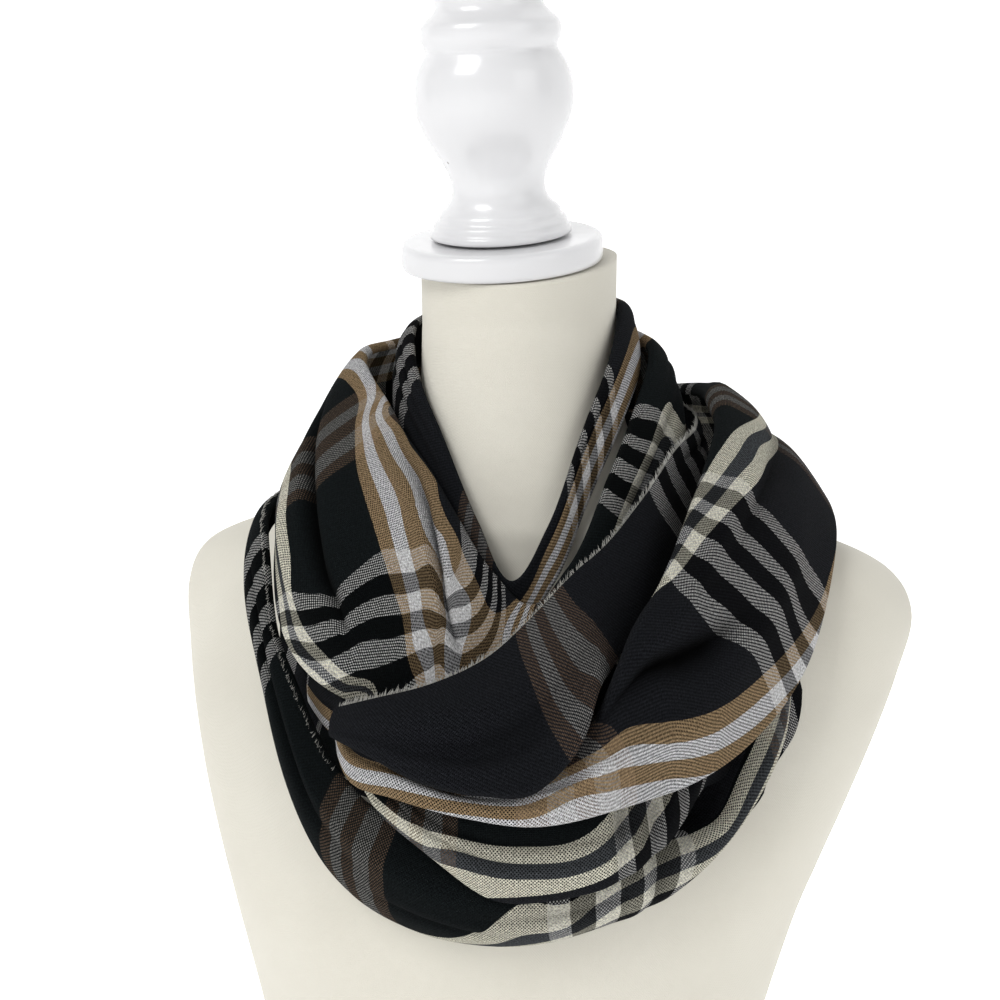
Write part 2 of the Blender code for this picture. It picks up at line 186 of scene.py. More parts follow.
class Sketch:
    """Adds shader nodes to one material and joins them.

    The Mix node has sockets for every kind of value: FACTOR, FIRST, SECOND
    and RESULT are the numbers of those it uses for colours.
    """

    FACTOR, FIRST, SECOND, RESULT = 0, 6, 7, 2

    def __init__(self, name: str) -> None:
        """Start a node material with its shader.

        Args:
            name: the material's name.
        """
        self.material = bpy.data.materials.new(name)
        self.material.use_nodes = True
        self.tree = self.material.node_tree
        self.shader = self.tree.nodes["Principled BSDF"]

    def add(self, kind: str, inputs: dict | None = None, **settings: object) -> bpy.types.Node:
        """Add a node.

        Args:
            kind: the node's Blender type.
            inputs: input name or number, and the socket or value it takes.
            settings: the node's own properties.

        Returns:
            The node.
        """
        node = self.tree.nodes.new(kind)
        for key, value in settings.items():
            setattr(node, key, value)
        for key, value in (inputs or {}).items():
            self.join(value, node.inputs[key])
        return node

    def join(self, value: object, socket: bpy.types.NodeSocket) -> None:
        """Link a socket to an input, or set the input to a value.

        Args:
            value: an output socket, a number or a tuple.
            socket: the input.
        """
        if isinstance(value, bpy.types.NodeSocket):
            self.tree.links.new(value, socket)
        else:
            socket.default_value = value

    def math(self, operation: str, *values: object) -> bpy.types.NodeSocket:
        """One sum or function of numbers.

        Args:
            operation: the Math node's operation.
            values: one to three sockets or numbers.

        Returns:
            The result's socket.
        """
        node = self.add("ShaderNodeMath", dict(enumerate(values)), operation=operation)
        return node.outputs[0]

    def mix(self, factor: object, first: object, second: object) -> bpy.types.NodeSocket:
        """Colour between two colours.

        Args:
            factor: 0 for the first and 1 for the second.
            first: socket or colour.
            second: socket or colour.

        Returns:
            The colour's socket.
        """
        node = self.add("ShaderNodeMix", data_type="RGBA")
        self.join(factor, node.inputs[self.FACTOR])
        self.join(first, node.inputs[self.FIRST])
        self.join(second, node.inputs[self.SECOND])
        return node.outputs[self.RESULT]

    def noise(self, vector: object, scale: float, detail: float = 2.0) -> bpy.types.NodeSocket:
        """Cloudy noise from 0 to 1.

        Args:
            vector: the coordinates' socket.
            scale: features for each metre.
            detail: octaves.

        Returns:
            The noise's socket.
        """
        inputs = {"Vector": vector, "Scale": scale, "Detail": detail}
        return self.add("ShaderNodeTexNoise", inputs).outputs["Fac"]

    def spread(self, value: object, low: float, high: float) -> bpy.types.NodeSocket:
        """A value from 0 to 1 taken to a range, and held inside it.

        Args:
            value: the socket.
            low: result at 0.
            high: result at 1.

        Returns:
            The result's socket.
        """
        node = self.add("ShaderNodeMapRange", {"Value": value, "To Min": low, "To Max": high})
        return node.outputs["Result"]

    def finish(self, roughness: object, **constants: float) -> None:
        """Set the shader's roughness and its other constant sockets.

        Args:
            roughness: socket or number.
            constants: socket name with underscores, and its value.
        """
        self.join(roughness, self.shader.inputs["Roughness"])
        for key, value in constants.items():
            self.shader.inputs[key.replace("_", " ")].default_value = value

    def bump(self, height: object, strength: float, distance: float) -> None:
        """Relief on the surface.

        Args:
            height: the height's socket, 0 to 1.
            strength: how much of it shows.
            distance: its depth in metres.
        """
        node = self.add(
            "ShaderNodeBump", {"Height": height, "Strength": strength, "Distance": distance}
        )
        self.join(node.outputs["Normal"], self.shader.inputs["Normal"])


@dataclass(frozen=True)
class PlaidCloth:
    """Yarn-dyed plain weave that shows each yarn where it lies on top.

    Attributes:
        pitch: distance between neighbouring yarns, in millimetres.
        soft: how gradually one yarn gives way to the other.
        lean: above 0 where the yarns along the band show more.
        press: share of a yarn's colour that shows where black yarns cross it.
        fleck_scale: flecks in a metre.
        flecks: share of the colour left at the darkest and the palest fleck.
        fleck_least: least share left.
        painted_shade_share: share of the colour left in a full trough, where shade is painted into
            the colour.
        knot_height: a yarn's knot against the rumples.
        rumple_scale: rumples in a metre.
        relief: how much of the relief shows.
        relief_depth: its depth in metres.
        end_pale: colour towards which the loose ends have bleached.
        end_share: how far.
        end_scale: changes of shade in a metre of ends.
        end_shades: their darkest and palest shade.
    """

    sett: Sett = SETT
    pitch: float = 0.75
    soft: float = 0.10
    lean: float = 0.20
    press: float = 0.42
    fleck_scale: float = 950.0
    flecks: tuple[float, float] = (-0.20, 2.20)
    fleck_least: float = 0.03
    painted_shade_share: float = 0.12
    knot_height: float = 0.30
    rumple_scale: float = 95.0
    relief: float = 0.75
    relief_depth: float = 0.0014
    end_pale: tuple[float, float, float] = (0.58, 0.57, 0.52)
    end_share: float = 0.60
    end_scale: float = 1500.0
    end_shades: tuple[float, float] = (0.7, 1.4)

    def yarn_colour(
        self, sketch: Sketch, place: bpy.types.NodeSocket, stripes: tuple[Stripe, ...]
    ) -> bpy.types.NodeSocket:
        """Colour of the yarn at a place.

        Args:
            sketch: the material.
            place: metres of cloth.
            stripes: one repeat.

        Returns:
            The colour's socket.
        """
        return self.ramp(sketch, place, stripes, [stripe.yarn.value for stripe in stripes])

    @staticmethod
    def ramp(
        sketch: Sketch,
        place: bpy.types.NodeSocket,
        stripes: tuple[Stripe, ...],
        colours: list[tuple[float, float, float]],
    ) -> bpy.types.NodeSocket:
        """A colour for each stripe, as the steps of a ramp over one repeat.

        Args:
            sketch: the material.
            place: metres of cloth.
            stripes: one repeat.
            colours: each stripe's colour.

        Returns:
            The colour's socket.
        """
        repeat = run_length(stripes)
        share = sketch.math("FRACT", sketch.math("DIVIDE", place, repeat * MM))
        node = sketch.add("ShaderNodeValToRGB", {"Fac": share})
        steps = node.color_ramp
        steps.interpolation = "CONSTANT"
        start = 0.0
        for number, (stripe, colour) in enumerate(zip(stripes, colours)):
            step = steps.elements[0] if number == 0 else steps.elements.new(start / repeat)
            step.position = start / repeat
            step.color = (*colour, 1.0)
            start += stripe.width
        steps.elements.remove(steps.elements[-1])
        return node.outputs["Color"]

    def pressed(
        self, sketch: Sketch, colour: bpy.types.NodeSocket, cross_place: bpy.types.NodeSocket
    ) -> bpy.types.NodeSocket:
        """The band's yarns, darker where close black yarns cross them.

        Args:
            sketch: the material.
            colour: the yarns' own colour.
            cross_place: metres along the band.

        Returns:
            The colour's socket.
        """
        stripes = self.sett.cross
        shares = [(self.press if stripe.yarn is Yarn.BLACK else 1.0,) * 3 for stripe in stripes]
        inputs = {0: colour, 1: self.ramp(sketch, cross_place, stripes, shares)}
        node = sketch.add("ShaderNodeVectorMath", inputs, operation="MULTIPLY")
        return node.outputs[0]

    def build(self) -> bpy.types.Material:
        """The cloth's material, on the piece's own two sets of coordinates.

        The weave is a chequer: the band's yarn lies on top where the product
        of two sines, one along and one across, is above minus the lean.

        Returns:
            The material.
        """
        sketch = Sketch("scarf_plaid")
        sett = sketch.add("ShaderNodeUVMap", uv_map="sett").outputs["UV"]
        order = sketch.add("ShaderNodeSeparateXYZ", {"Vector": sett})
        lengthwise = self.yarn_colour(sketch, order.outputs["Y"], self.sett.along)
        crosswise = self.yarn_colour(sketch, order.outputs["X"], self.sett.cross)
        lengthwise = self.pressed(sketch, lengthwise, order.outputs["X"])
        cloth = sketch.add("ShaderNodeUVMap", uv_map="cloth").outputs["UV"]
        split = sketch.add("ShaderNodeSeparateXYZ", {"Vector": cloth})
        along, across = split.outputs["X"], split.outputs["Y"]
        turn = math.pi / (self.pitch * MM)
        wave_along = sketch.math("SINE", sketch.math("MULTIPLY", along, turn))
        wave_across = sketch.math("SINE", sketch.math("MULTIPLY", across, turn))
        over = sketch.math("MULTIPLY", wave_along, wave_across)
        low, high = -self.soft - self.lean, self.soft - self.lean
        reach = {"Value": over, "From Min": low, "From Max": high}
        on_top = sketch.add("ShaderNodeMapRange", reach, interpolation_type="SMOOTHSTEP")
        colour = sketch.mix(on_top.outputs["Result"], crosswise, lengthwise)
        flecks = sketch.spread(sketch.noise(cloth, self.fleck_scale, 3.0), *self.flecks)
        worn = sketch.math("MAXIMUM", flecks, self.fleck_least)
        # Painted shade: the colour is darkened in the troughs of folds and creases by the trough
        # depth kept on each point, and then by the yarns' own flecks.
        painted_shade_depth = sketch.add("ShaderNodeAttribute", attribute_name="painted_shade_depth").outputs["Fac"]
        painted_shade = sketch.spread(painted_shade_depth, 1.0, self.painted_shade_share)
        shade = sketch.math("MULTIPLY", worn, painted_shade)
        tone = sketch.add("ShaderNodeVectorMath", {0: colour, "Scale": shade}, operation="SCALE")
        sketch.join(tone.outputs[0], sketch.shader.inputs["Base Color"])
        sketch.finish(1.0, Sheen_Weight=0.01, Sheen_Roughness=0.5, Specular_IOR_Level=0.03)
        knots = sketch.math("MULTIPLY", sketch.math("ABSOLUTE", over), self.knot_height)
        rumple = sketch.noise(cloth, self.rumple_scale, 3.0)
        sketch.bump(sketch.math("ADD", knots, rumple), self.relief, self.relief_depth)
        return sketch.material

    def build_ends(self) -> bpy.types.Material:
        """The loose yarn ends' material: the cross yarns' colours, bleached."""
        sketch = Sketch("scarf_yarn_ends")
        sett = sketch.add("ShaderNodeUVMap", uv_map="sett").outputs["UV"]
        split = sketch.add("ShaderNodeSeparateXYZ", {"Vector": sett})
        colour = self.yarn_colour(sketch, split.outputs["X"], self.sett.cross)
        shade = sketch.spread(sketch.noise(sett, self.end_scale), *self.end_shades)
        pale = sketch.mix(self.end_share, colour, (*self.end_pale, 1.0))
        tone = sketch.add("ShaderNodeVectorMath", {0: pale, "Scale": shade}, operation="SCALE")
        sketch.join(tone.outputs[0], sketch.shader.inputs["Base Color"])
        sketch.finish(0.9, Sheen_Weight=0.2)
        return sketch.material


@dataclass(frozen=True)
class FormCloth:
    """Cream cotton drawn tight over the form, faintly mottled.

    Attributes:
        fair: its palest colour.
        dull: its darkest.
        pitch: distance between neighbouring yarns, in millimetres.
        cloud_scale: clouds in a metre.
        grain_scale: grains in a metre.
        cloud_share: share of the mottling that the clouds give.
    """

    fair: tuple[float, float, float] = (0.735, 0.712, 0.630)
    dull: tuple[float, float, float] = (0.650, 0.622, 0.540)
    pitch: float = 0.7
    cloud_scale: float = 14.0
    grain_scale: float = 1600.0
    cloud_share: float = 0.7

    def build(self) -> bpy.types.Material:
        """The form's material, on object coordinates."""
        sketch = Sketch("form_cotton")
        place = sketch.add("ShaderNodeTexCoord").outputs["Object"]
        clouds = sketch.spread(sketch.noise(place, self.cloud_scale, 5.0), -0.35, 1.35)
        grain = sketch.spread(sketch.noise(place, self.grain_scale), -0.2, 1.2)
        clouded = sketch.math("MULTIPLY", clouds, self.cloud_share)
        mixed = sketch.math("ADD", clouded, sketch.math("MULTIPLY", grain, 1 - self.cloud_share))
        colour = sketch.mix(mixed, (*self.dull, 1.0), (*self.fair, 1.0))
        sketch.join(colour, sketch.shader.inputs["Base Color"])
        turn = math.pi / (self.pitch * MM)
        split = sketch.add("ShaderNodeSeparateXYZ", {"Vector": place})
        flat = sketch.math("ADD", split.outputs["X"], split.outputs["Y"])
        ribs = sketch.math("SINE", sketch.math("MULTIPLY", flat, turn))
        rows = sketch.math("SINE", sketch.math("MULTIPLY", split.outputs["Z"], turn))
        weave = sketch.math("MULTIPLY", ribs, rows)
        sketch.bump(sketch.math("ADD", weave, grain), 0.25, 0.0002)
        sketch.finish(0.88, Sheen_Weight=0.1, Specular_IOR_Level=0.3)
        return sketch.material


@dataclass(frozen=True)
class GlossPaint:
    """Gloss white paint on turned wood, with a few small grey chips.

    Attributes:
        fair: the paint's colour.
        second: a second tone of it.
        chip: the wood that shows in a chip.
        chip_scale: places for a chip in a metre.
        chip_reach: a chip's radius against the distance between such places.
        chip_rarity: the noise above which a place is chipped.
        patch_scale: patches in a metre that may be chipped.
        tone_scale: changes of tone in a metre.
        brush_scale: changes of gloss in a metre.
        gloss: roughness where it is smoothest and dullest.
        ripple_scale: ripples in a metre of paint.
    """

    fair: tuple[float, float, float] = (0.74, 0.74, 0.75)
    second: tuple[float, float, float] = (0.68, 0.68, 0.70)
    chip: tuple[float, float, float] = (0.30, 0.29, 0.28)
    chip_scale: float = 55.0
    chip_reach: float = 0.045
    chip_rarity: float = 0.60
    patch_scale: float = 30.0
    tone_scale: float = 9.0
    brush_scale: float = 120.0
    gloss: tuple[float, float] = (0.16, 0.30)
    ripple_scale: float = 60.0

    def build(self) -> bpy.types.Material:
        """The paint's material, on object coordinates."""
        sketch = Sketch("gloss_white_paint")
        place = sketch.add("ShaderNodeTexCoord").outputs["Object"]
        cells = sketch.add("ShaderNodeTexVoronoi", {"Vector": place, "Scale": self.chip_scale})
        near = sketch.math("LESS_THAN", cells.outputs["Distance"], self.chip_reach)
        rare = sketch.math("GREATER_THAN", sketch.noise(place, self.patch_scale), self.chip_rarity)
        chipped = sketch.math("MULTIPLY", near, rare)
        tone = sketch.spread(sketch.noise(place, self.tone_scale), 0.0, 0.12)
        clean = sketch.mix(tone, (*self.fair, 1.0), (*self.second, 1.0))
        colour = sketch.mix(chipped, clean, (*self.chip, 1.0))
        sketch.join(colour, sketch.shader.inputs["Base Color"])
        rough = sketch.spread(sketch.noise(place, self.brush_scale), *self.gloss)
        sketch.bump(sketch.noise(place, self.ripple_scale, 1.0), 0.08, 0.0006)
        sketch.finish(rough, Coat_Weight=0.35, Coat_Roughness=0.08)
        return sketch.material


def smooth_rows(keys: Array, values: Array, at: Array, period: float | None = None) -> Array:
    """Cubic Hermite curve through rows of values.

    The slope at each row is the central difference of its neighbours. Where a
    period is given the rows repeat after it.

    Args:
        keys: place of each row.
        values: the rows.
        at: places wanted.
        period: length of one round, for a closed curve.

    Returns:
        The values at those places.
    """
    keys = np.asarray(keys, float)
    values = np.asarray(values, float)
    at = np.asarray(at, float)
    if period:
        at = (at - keys[0]) % period + keys[0]
        keys = np.concatenate([keys[-2:] - period, keys, keys[:2] + period])
        values = np.concatenate([values[-2:], values, values[:2]])
    slopes = np.gradient(values, keys, axis=0)
    low = np.clip(np.searchsorted(keys, at, side="right") - 1, 0, len(keys) - 2)
    gap = (keys[low + 1] - keys[low])[:, None]
    t = (at - keys[low])[:, None] / gap
    return (
        values[low] * (2 * t**3 - 3 * t**2 + 1)
        + slopes[low] * gap * (t**3 - 2 * t**2 + t)
        + values[low + 1] * (3 * t**2 - 2 * t**3)
        + slopes[low + 1] * gap * (t**3 - t**2)
    )


def arc_length(points: Array, axis: int) -> Array:
    """Length run along one axis of a grid of points, from 0 at its first point.

    Args:
        points: grid of places, their coordinates last.
        axis: the grid's axis.

    Returns:
        The lengths, a grid without the last axis.
    """
    steps = np.linalg.norm(np.diff(points, axis=axis), axis=-1)
    start = np.zeros_like(np.take(steps, [0], axis=axis))
    return np.concatenate([start, np.cumsum(steps, axis=axis)], axis=axis)


def grid_faces(rows: int, columns: int, closed: bool = False, capped: bool = False) -> Array:
    """Quads of a grid of points, row by row.

    Args:
        rows: number of rows.
        columns: number of points in a row.
        closed: whether the last row joins the first.
        capped: whether the last point of a row joins the first.

    Returns:
        Four point numbers for each quad.
    """
    i = np.arange(rows if closed else rows - 1)[:, None]
    k = np.arange(columns if capped else columns - 1)[None, :]
    j, m = (i + 1) % rows, (k + 1) % columns
    quads = np.stack([i * columns + k, i * columns + m, j * columns + m, j * columns + k], axis=-1)
    return quads.reshape(-1, 4)


def add_piece(
    name: str,
    points: Array,
    quads: Array,
    material: bpy.types.Material,
    maps: dict[str, Array] | None = None,
) -> bpy.types.Object:
    """A smooth mesh object, its place in its mesh.

    Args:
        name: the piece's name.
        points: places in millimetres.
        quads: four point numbers for each face.
        material: its finish.
        maps: name of each UV map, and its coordinates at the face corners.

    Returns:
        The object.
    """
    mesh = bpy.data.meshes.new(name)
    mesh.vertices.add(len(points))
    mesh.vertices.foreach_set("co", (np.asarray(points) * MM).astype(np.float32).ravel())
    mesh.loops.add(quads.size)
    mesh.loops.foreach_set("vertex_index", quads.astype(np.int32).ravel())
    mesh.polygons.add(len(quads))
    mesh.polygons.foreach_set("loop_start", np.arange(0, quads.size, 4, dtype=np.int32))
    for title, corners in (maps or {}).items():
        layer = mesh.uv_layers.new(name=title)
        layer.data.foreach_set("uv", corners.astype(np.float32).ravel())
    mesh.update(calc_edges=True)
    mesh.validate()
    mesh.shade_smooth()
    mesh.materials.append(material)
    piece = bpy.data.objects.new(name, mesh)
    bpy.context.scene.collection.objects.link(piece)
    return piece


def close_poles(piece: bpy.types.Object) -> bpy.types.Object:
    """Merge the points that meet in one place, so that a piece's ends are closed.

    Args:
        piece: the piece.

    Returns:
        The same piece.
    """
    shape = bmesh.new()
    shape.from_mesh(piece.data)
    bmesh.ops.remove_doubles(shape, verts=shape.verts, dist=MERGE_DISTANCE)
    shape.to_mesh(piece.data)
    shape.free()
    return piece


def place_piece(piece: bpy.types.Object, slot: str, *nodes: str) -> None:
    """Let a piece ride on the part, in place of its CAD nodes.

    Args:
        piece: the piece.
        slot: the record's material slot; not used.
        nodes: nodes that it stands for.
    """
    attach(piece, "root")
    if nodes:
        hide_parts(*nodes)
    LOG.info("%s: %d faces", piece.name, len(piece.data.polygons))


@dataclass
class Stretch:
    """One stretch of the scarf that shows, a thin shell round the neck.

    Attributes:
        name: the piece's name.
        node: the CAD node that it replaces.
        rows: section rows: azimuth, then radius and height of the top hem, of
            the belly and of the low hem, then the radius of the hems' roll.
        folds: ridges and troughs.
        pins: rows of azimuth, then at the top hem, a third and two thirds of
            the way, and at the low hem: four places in the plaid across the
            band, and four along it less the run from azimuth 0. The under
            layer's were given one by one. The others came from a separate
            program, as a least squares fit to points read on the photo.
        flat: width and length of its flat cut, in metres.
        creases: sharper folds.
        closed: whether it goes all the way round.
        raw_top: whether its top hem is the raw edge, not rolled.
        hem: the low hem's roll against the top one's.
        around: sections along the band.
        across: steps across it.
        lip_steps: steps round a hem's roll.
        wall: the cloth's thickness.
    """

    name: str
    node: str
    rows: tuple[tuple[float, ...], ...]
    folds: tuple[Fold, ...]
    pins: tuple[tuple[float, ...], ...]
    flat: tuple[float, float]
    creases: tuple[Crease, ...] = ()
    closed: bool = False
    raw_top: bool = False
    hem: float = 1.0
    around: int = 360
    across: int = 56
    lip_steps: int = 7
    wall: float = 0.9

    def azimuths(self) -> Array:
        """Azimuths of the sections, evenly spaced, in degrees."""
        first = self.rows[0][0]
        last = first + 360 if self.closed else self.rows[-1][0]
        return np.linspace(first, last, self.around + 1)

    def fold_height(self, across: Array, az: Array) -> Array:
        """How far the folds raise the cloth, in millimetres.

        Each fold is a bell across the band and a bell along it, and a ridge's
        bell is rounder than a trough's. Each crease is a bell across the band
        about its own line, and its lower side may be broader.

        Args:
            across: place across the band.
            az: azimuth.

        Returns:
            The height.
        """
        raised = np.zeros(np.broadcast(across, az).shape)
        for fold in self.folds:
            turned = (az - fold.az + 180) % 360 - 180
            offset = np.abs((across - fold.across - fold.drift * turned / 90) / fold.width)
            power = RIDGE_POWER if fold.height > 0 else TROUGH_POWER
            raised += fold.height * np.exp(-(offset**power) - (turned / fold.span) ** 2)
        for crease in self.creases:
            path = np.array(crease.path)
            line, width, height = (np.interp(az, path[:, 0], path[:, k]) for k in (1, 2, 3))
            offset = (across - line) / width
            offset = np.abs(np.where(offset > 0, offset / crease.steep, offset))
            raised += height * np.exp(-(offset**CREASE_POWER))
        return raised

    def profile(self, azimuths: Array) -> Array:
        """Radius and height of the cloth, a row of points for each azimuth.

        The parabola through top, belly and low is moved out along its own
        normal by the folds, and each hem rolls back through 150 degrees of a
        circle towards the inner side.

        Args:
            azimuths: where the sections stand.

        Returns:
            Grid of (radius, height).
        """
        keys = [row[0] for row in self.rows]
        values = [row[1:] for row in self.rows]
        sized = smooth_rows(keys, values, azimuths, 360 if self.closed else None)
        top, belly, low = (sized[:, None, k : k + 2] for k in (0, 2, 4))
        v = np.linspace(0, 1, self.across + 1)[None, :, None]
        line = top * (1 - v) * (1 - 2 * v) + belly * 4 * v * (1 - v) + low * v * (2 * v - 1)
        along = top * (4 * v - 3) + belly * (4 - 8 * v) + low * (4 * v - 1)
        along /= np.linalg.norm(along, axis=2, keepdims=True)
        out = np.stack([-along[..., 1], along[..., 0]], axis=2)
        line = line + out * self.fold_height(v[..., 0], azimuths[:, None])[..., None]
        bends = np.linspace(1, 0, self.lip_steps, endpoint=False) * HEM_TURN
        radius = sized[:, 6][:, None, None]
        pieces = [line]
        if not self.raw_top:
            pieces.insert(0, self.lip(line[:, :1], out[:, :1], -along[:, :1], radius, bends))
        pieces.append(
            self.lip(line[:, -1:], out[:, -1:], along[:, -1:], radius * self.hem, bends[::-1])
        )
        return np.concatenate(pieces, axis=1)

    @staticmethod
    def lip(edge: Array, out: Array, away: Array, radius: Array, bends: Array) -> Array:
        """A hem's roll: from the edge round a circle towards the inner side.

        Args:
            edge: the hem's points.
            out: the cloth's outward normal there.
            away: direction off the cloth there.
            radius: the circle's radius.
            bends: angles round it.

        Returns:
            The roll's points.
        """
        turn = bends[None, :, None]
        return edge - out * radius * (1 - np.cos(turn)) + away * radius * np.sin(turn)

    def places(self, azimuths: Array) -> Array:
        """Places of the cloth: its profile turned about the neck's axis.

        Args:
            azimuths: where the sections stand.

        Returns:
            Grid of places in millimetres.
        """
        profile = self.profile(azimuths)
        angle = np.radians(azimuths)[:, None]
        radius = profile[..., 0]
        return np.stack([radius * np.sin(angle), -radius * np.cos(angle), profile[..., 1]], axis=2)

    def painted_shade_depth(self, azimuths: Array) -> Array:
        """How deep every point lies in a trough, from 0 to 1 at the full depth, which the plaid
        turns into shade painted into its colour.

        Args:
            azimuths: where the sections stand.

        Returns:
            Grid of depths, 0 on the hems' rolls.
        """
        v = np.linspace(0, 1, self.across + 1)[None, :]
        deep = np.clip(-self.fold_height(v, azimuths[:, None]) / FULL_PAINTED_SHADE_DEPTH, 0, 1)
        return np.pad(deep, ((0, 0), (self.first_flat(), self.lip_steps))).astype(np.float32)

    def first_flat(self) -> int:
        """Number of the top hem's own point in a section, after its roll."""
        return 0 if self.raw_top else self.lip_steps

    def cloth(self, azimuths: Array, places: Array) -> Array:
        """Run of the cloth along its mid line and across it, in metres.

        Args:
            azimuths: where the sections stand.
            places: the cloth's places.

        Returns:
            Grid of (along, across), 0 at azimuth 0 and at the top hem.
        """
        first = self.first_flat()
        run = arc_length(places, 1)
        run = run - run[:, first : first + 1]
        middle = arc_length(places[:, first + self.across // 2], 0)
        middle = middle - np.interp(0, azimuths, middle)
        along = np.broadcast_to(middle[:, None], run.shape)
        return np.stack([along, run], axis=2) * MM

    def sett(self, azimuths: Array, cloth: Array) -> Array:
        """Place of every point in the plaid, in metres.

        Both places are pinned in four lines along the band, by the cubic that
        passes through their four values from hem to hem. On the hems' rolls
        it goes on no further than a fifth of the way to a next line.

        Args:
            azimuths: where the sections stand.
            cloth: the cloth's own runs.

        Returns:
            Grid of (along, across).
        """
        first = self.first_flat()
        middle, run = cloth[..., 0] / MM, cloth[..., 1] / MM
        x = 3 * run / run[:, first + self.across][:, None]
        x = np.clip(x, -0.2, 3.2)
        keys = [pin[0] for pin in self.pins]
        held = smooth_rows(keys, [pin[1:] for pin in self.pins], azimuths)
        weights = (
            (1 - x) * (2 - x) * (3 - x) / 6,
            x * (2 - x) * (3 - x) / 2,
            x * (x - 1) * (3 - x) / 2,
            x * (x - 1) * (x - 2) / 6,
        )
        across = sum(held[:, k][:, None] * weights[k] for k in range(4))
        along = middle + sum(held[:, 4 + k][:, None] * weights[k] for k in range(4))
        return np.stack([along, across], axis=2) * MM

    def corners(self, grid: Array) -> Array:
        """A value on each face corner, from a value on each point of the open grid."""
        faces = grid_faces(*grid.shape[:2])
        return grid.reshape(-1, grid.shape[2])[faces.ravel()]

    def build(self, material: bpy.types.Material) -> bpy.types.Object:
        """The stretch's piece.

        Args:
            material: the plaid.

        Returns:
            The object.
        """
        azimuths = self.azimuths()
        places = self.places(azimuths)
        cloth = self.cloth(azimuths, places)
        maps = {"sett": self.corners(self.sett(azimuths, cloth)), "cloth": self.corners(cloth)}
        kept = places[:-1] if self.closed else places
        faces = grid_faces(*kept.shape[:2], closed=self.closed)
        piece = add_piece(self.name, kept.reshape(-1, 3), faces, material, maps)
        # Trough depth on each point, which the plaid turns into shade painted into the creases'
        # colour.
        depth = piece.data.attributes.new("painted_shade_depth", "FLOAT", "POINT")
        depth.data.foreach_set("value", self.painted_shade_depth(azimuths)[: len(kept)].ravel())
        wall = piece.modifiers.new("wall", "SOLIDIFY")
        wall.thickness = self.wall * MM
        wall.offset = 0.0
        wall.use_even_offset = False
        return piece

    def dress(self, piece: bpy.types.Object, rests_on: list[str], with_pieces: list) -> None:
        """Args:
            piece: the stretch's piece.
            rests_on: what it lies on; not used.
            with_pieces: yarn ends on it; not used.
        """
        place_piece(piece, "scarf_cloth", self.node)


COLLAR = Stretch(
    name="collar_cloth",
    node="scarf_collar",
    closed=True,
    rows=(
        (-150, 53, 517, 62, 509, 64, 490, 1.6),
        (-110, 56, 512, 64, 503, 66, 484, 1.6),
        (-75, 57, 500, 64, 490, 66, 470, 1.6),
        (-50, 59, 477, 64, 467, 66, 448, 1.6),
        (-25, 64, 449, 68, 440, 70, 422, 1.6),
        (-5, 75, 413, 79, 403, 82, 388, 1.6),
        (8, 88, 389, 90, 382, 92, 370, 1.6),
        (20, 79, 412, 83, 402, 86, 388, 1.6),
        (35, 68, 449, 71, 439, 73, 420, 1.6),
        (55, 62, 484, 66, 473, 67, 454, 1.6),
        (85, 54.2, 512, 60, 502, 63, 483, 1.6),
        (115, 54, 519, 61, 511, 63, 492, 1.6),
        (150, 51, 520, 60, 512, 62, 492, 1.6),
    ),
    folds=(
        Fold(0.30, 0.08, -1.8, -58, 26, 0.10),
        Fold(0.62, 0.08, -2.0, -52, 30, -0.12),
        Fold(0.86, 0.07, -1.6, -30, 22),
        Fold(0.55, 0.14, -1.5, 62, 45, 0.05),
        Fold(0.28, 0.07, -1.8, 40, 20, 0.12),
        Fold(0.50, 0.18, -2.0, 180, 60),
    ),
    pins=(
        (-150, -39, -29, -19, -9, 164, 164, 164, 164),
        (-80, -40, -31, -22, -13, 164, 164, 164, 164),
        (-20, -36, -27, -18, -9, 164, 164, 164, 164),
        (8, -17, -7, 3, 13, 164, 164, 164, 164),
        (18, -8, 2, 13, 24, 164, 165, 164, 164),
        (26, -7, 3, 14, 25, 166, 168, 165, 166),
        (34, -8, 3, 14, 25, 165, 165, 165, 166),
        (44, -8, 3, 14, 25, 164, 164, 164, 166),
        (56, -8, 3, 14, 25, 163, 165, 165, 166),
        (70, -9, 2, 13, 24, 165, 166, 166, 166),
        (90, -13, -2, 9, 19, 164, 164, 164, 164),
        (130, -24, -14, -4, 6, 161, 161, 161, 161),
        (210, -38, -28, -18, -8, 160, 160, 160, 160),
    ),
    flat=(0.04, 0.45),
    around=300,
    across=34,
)
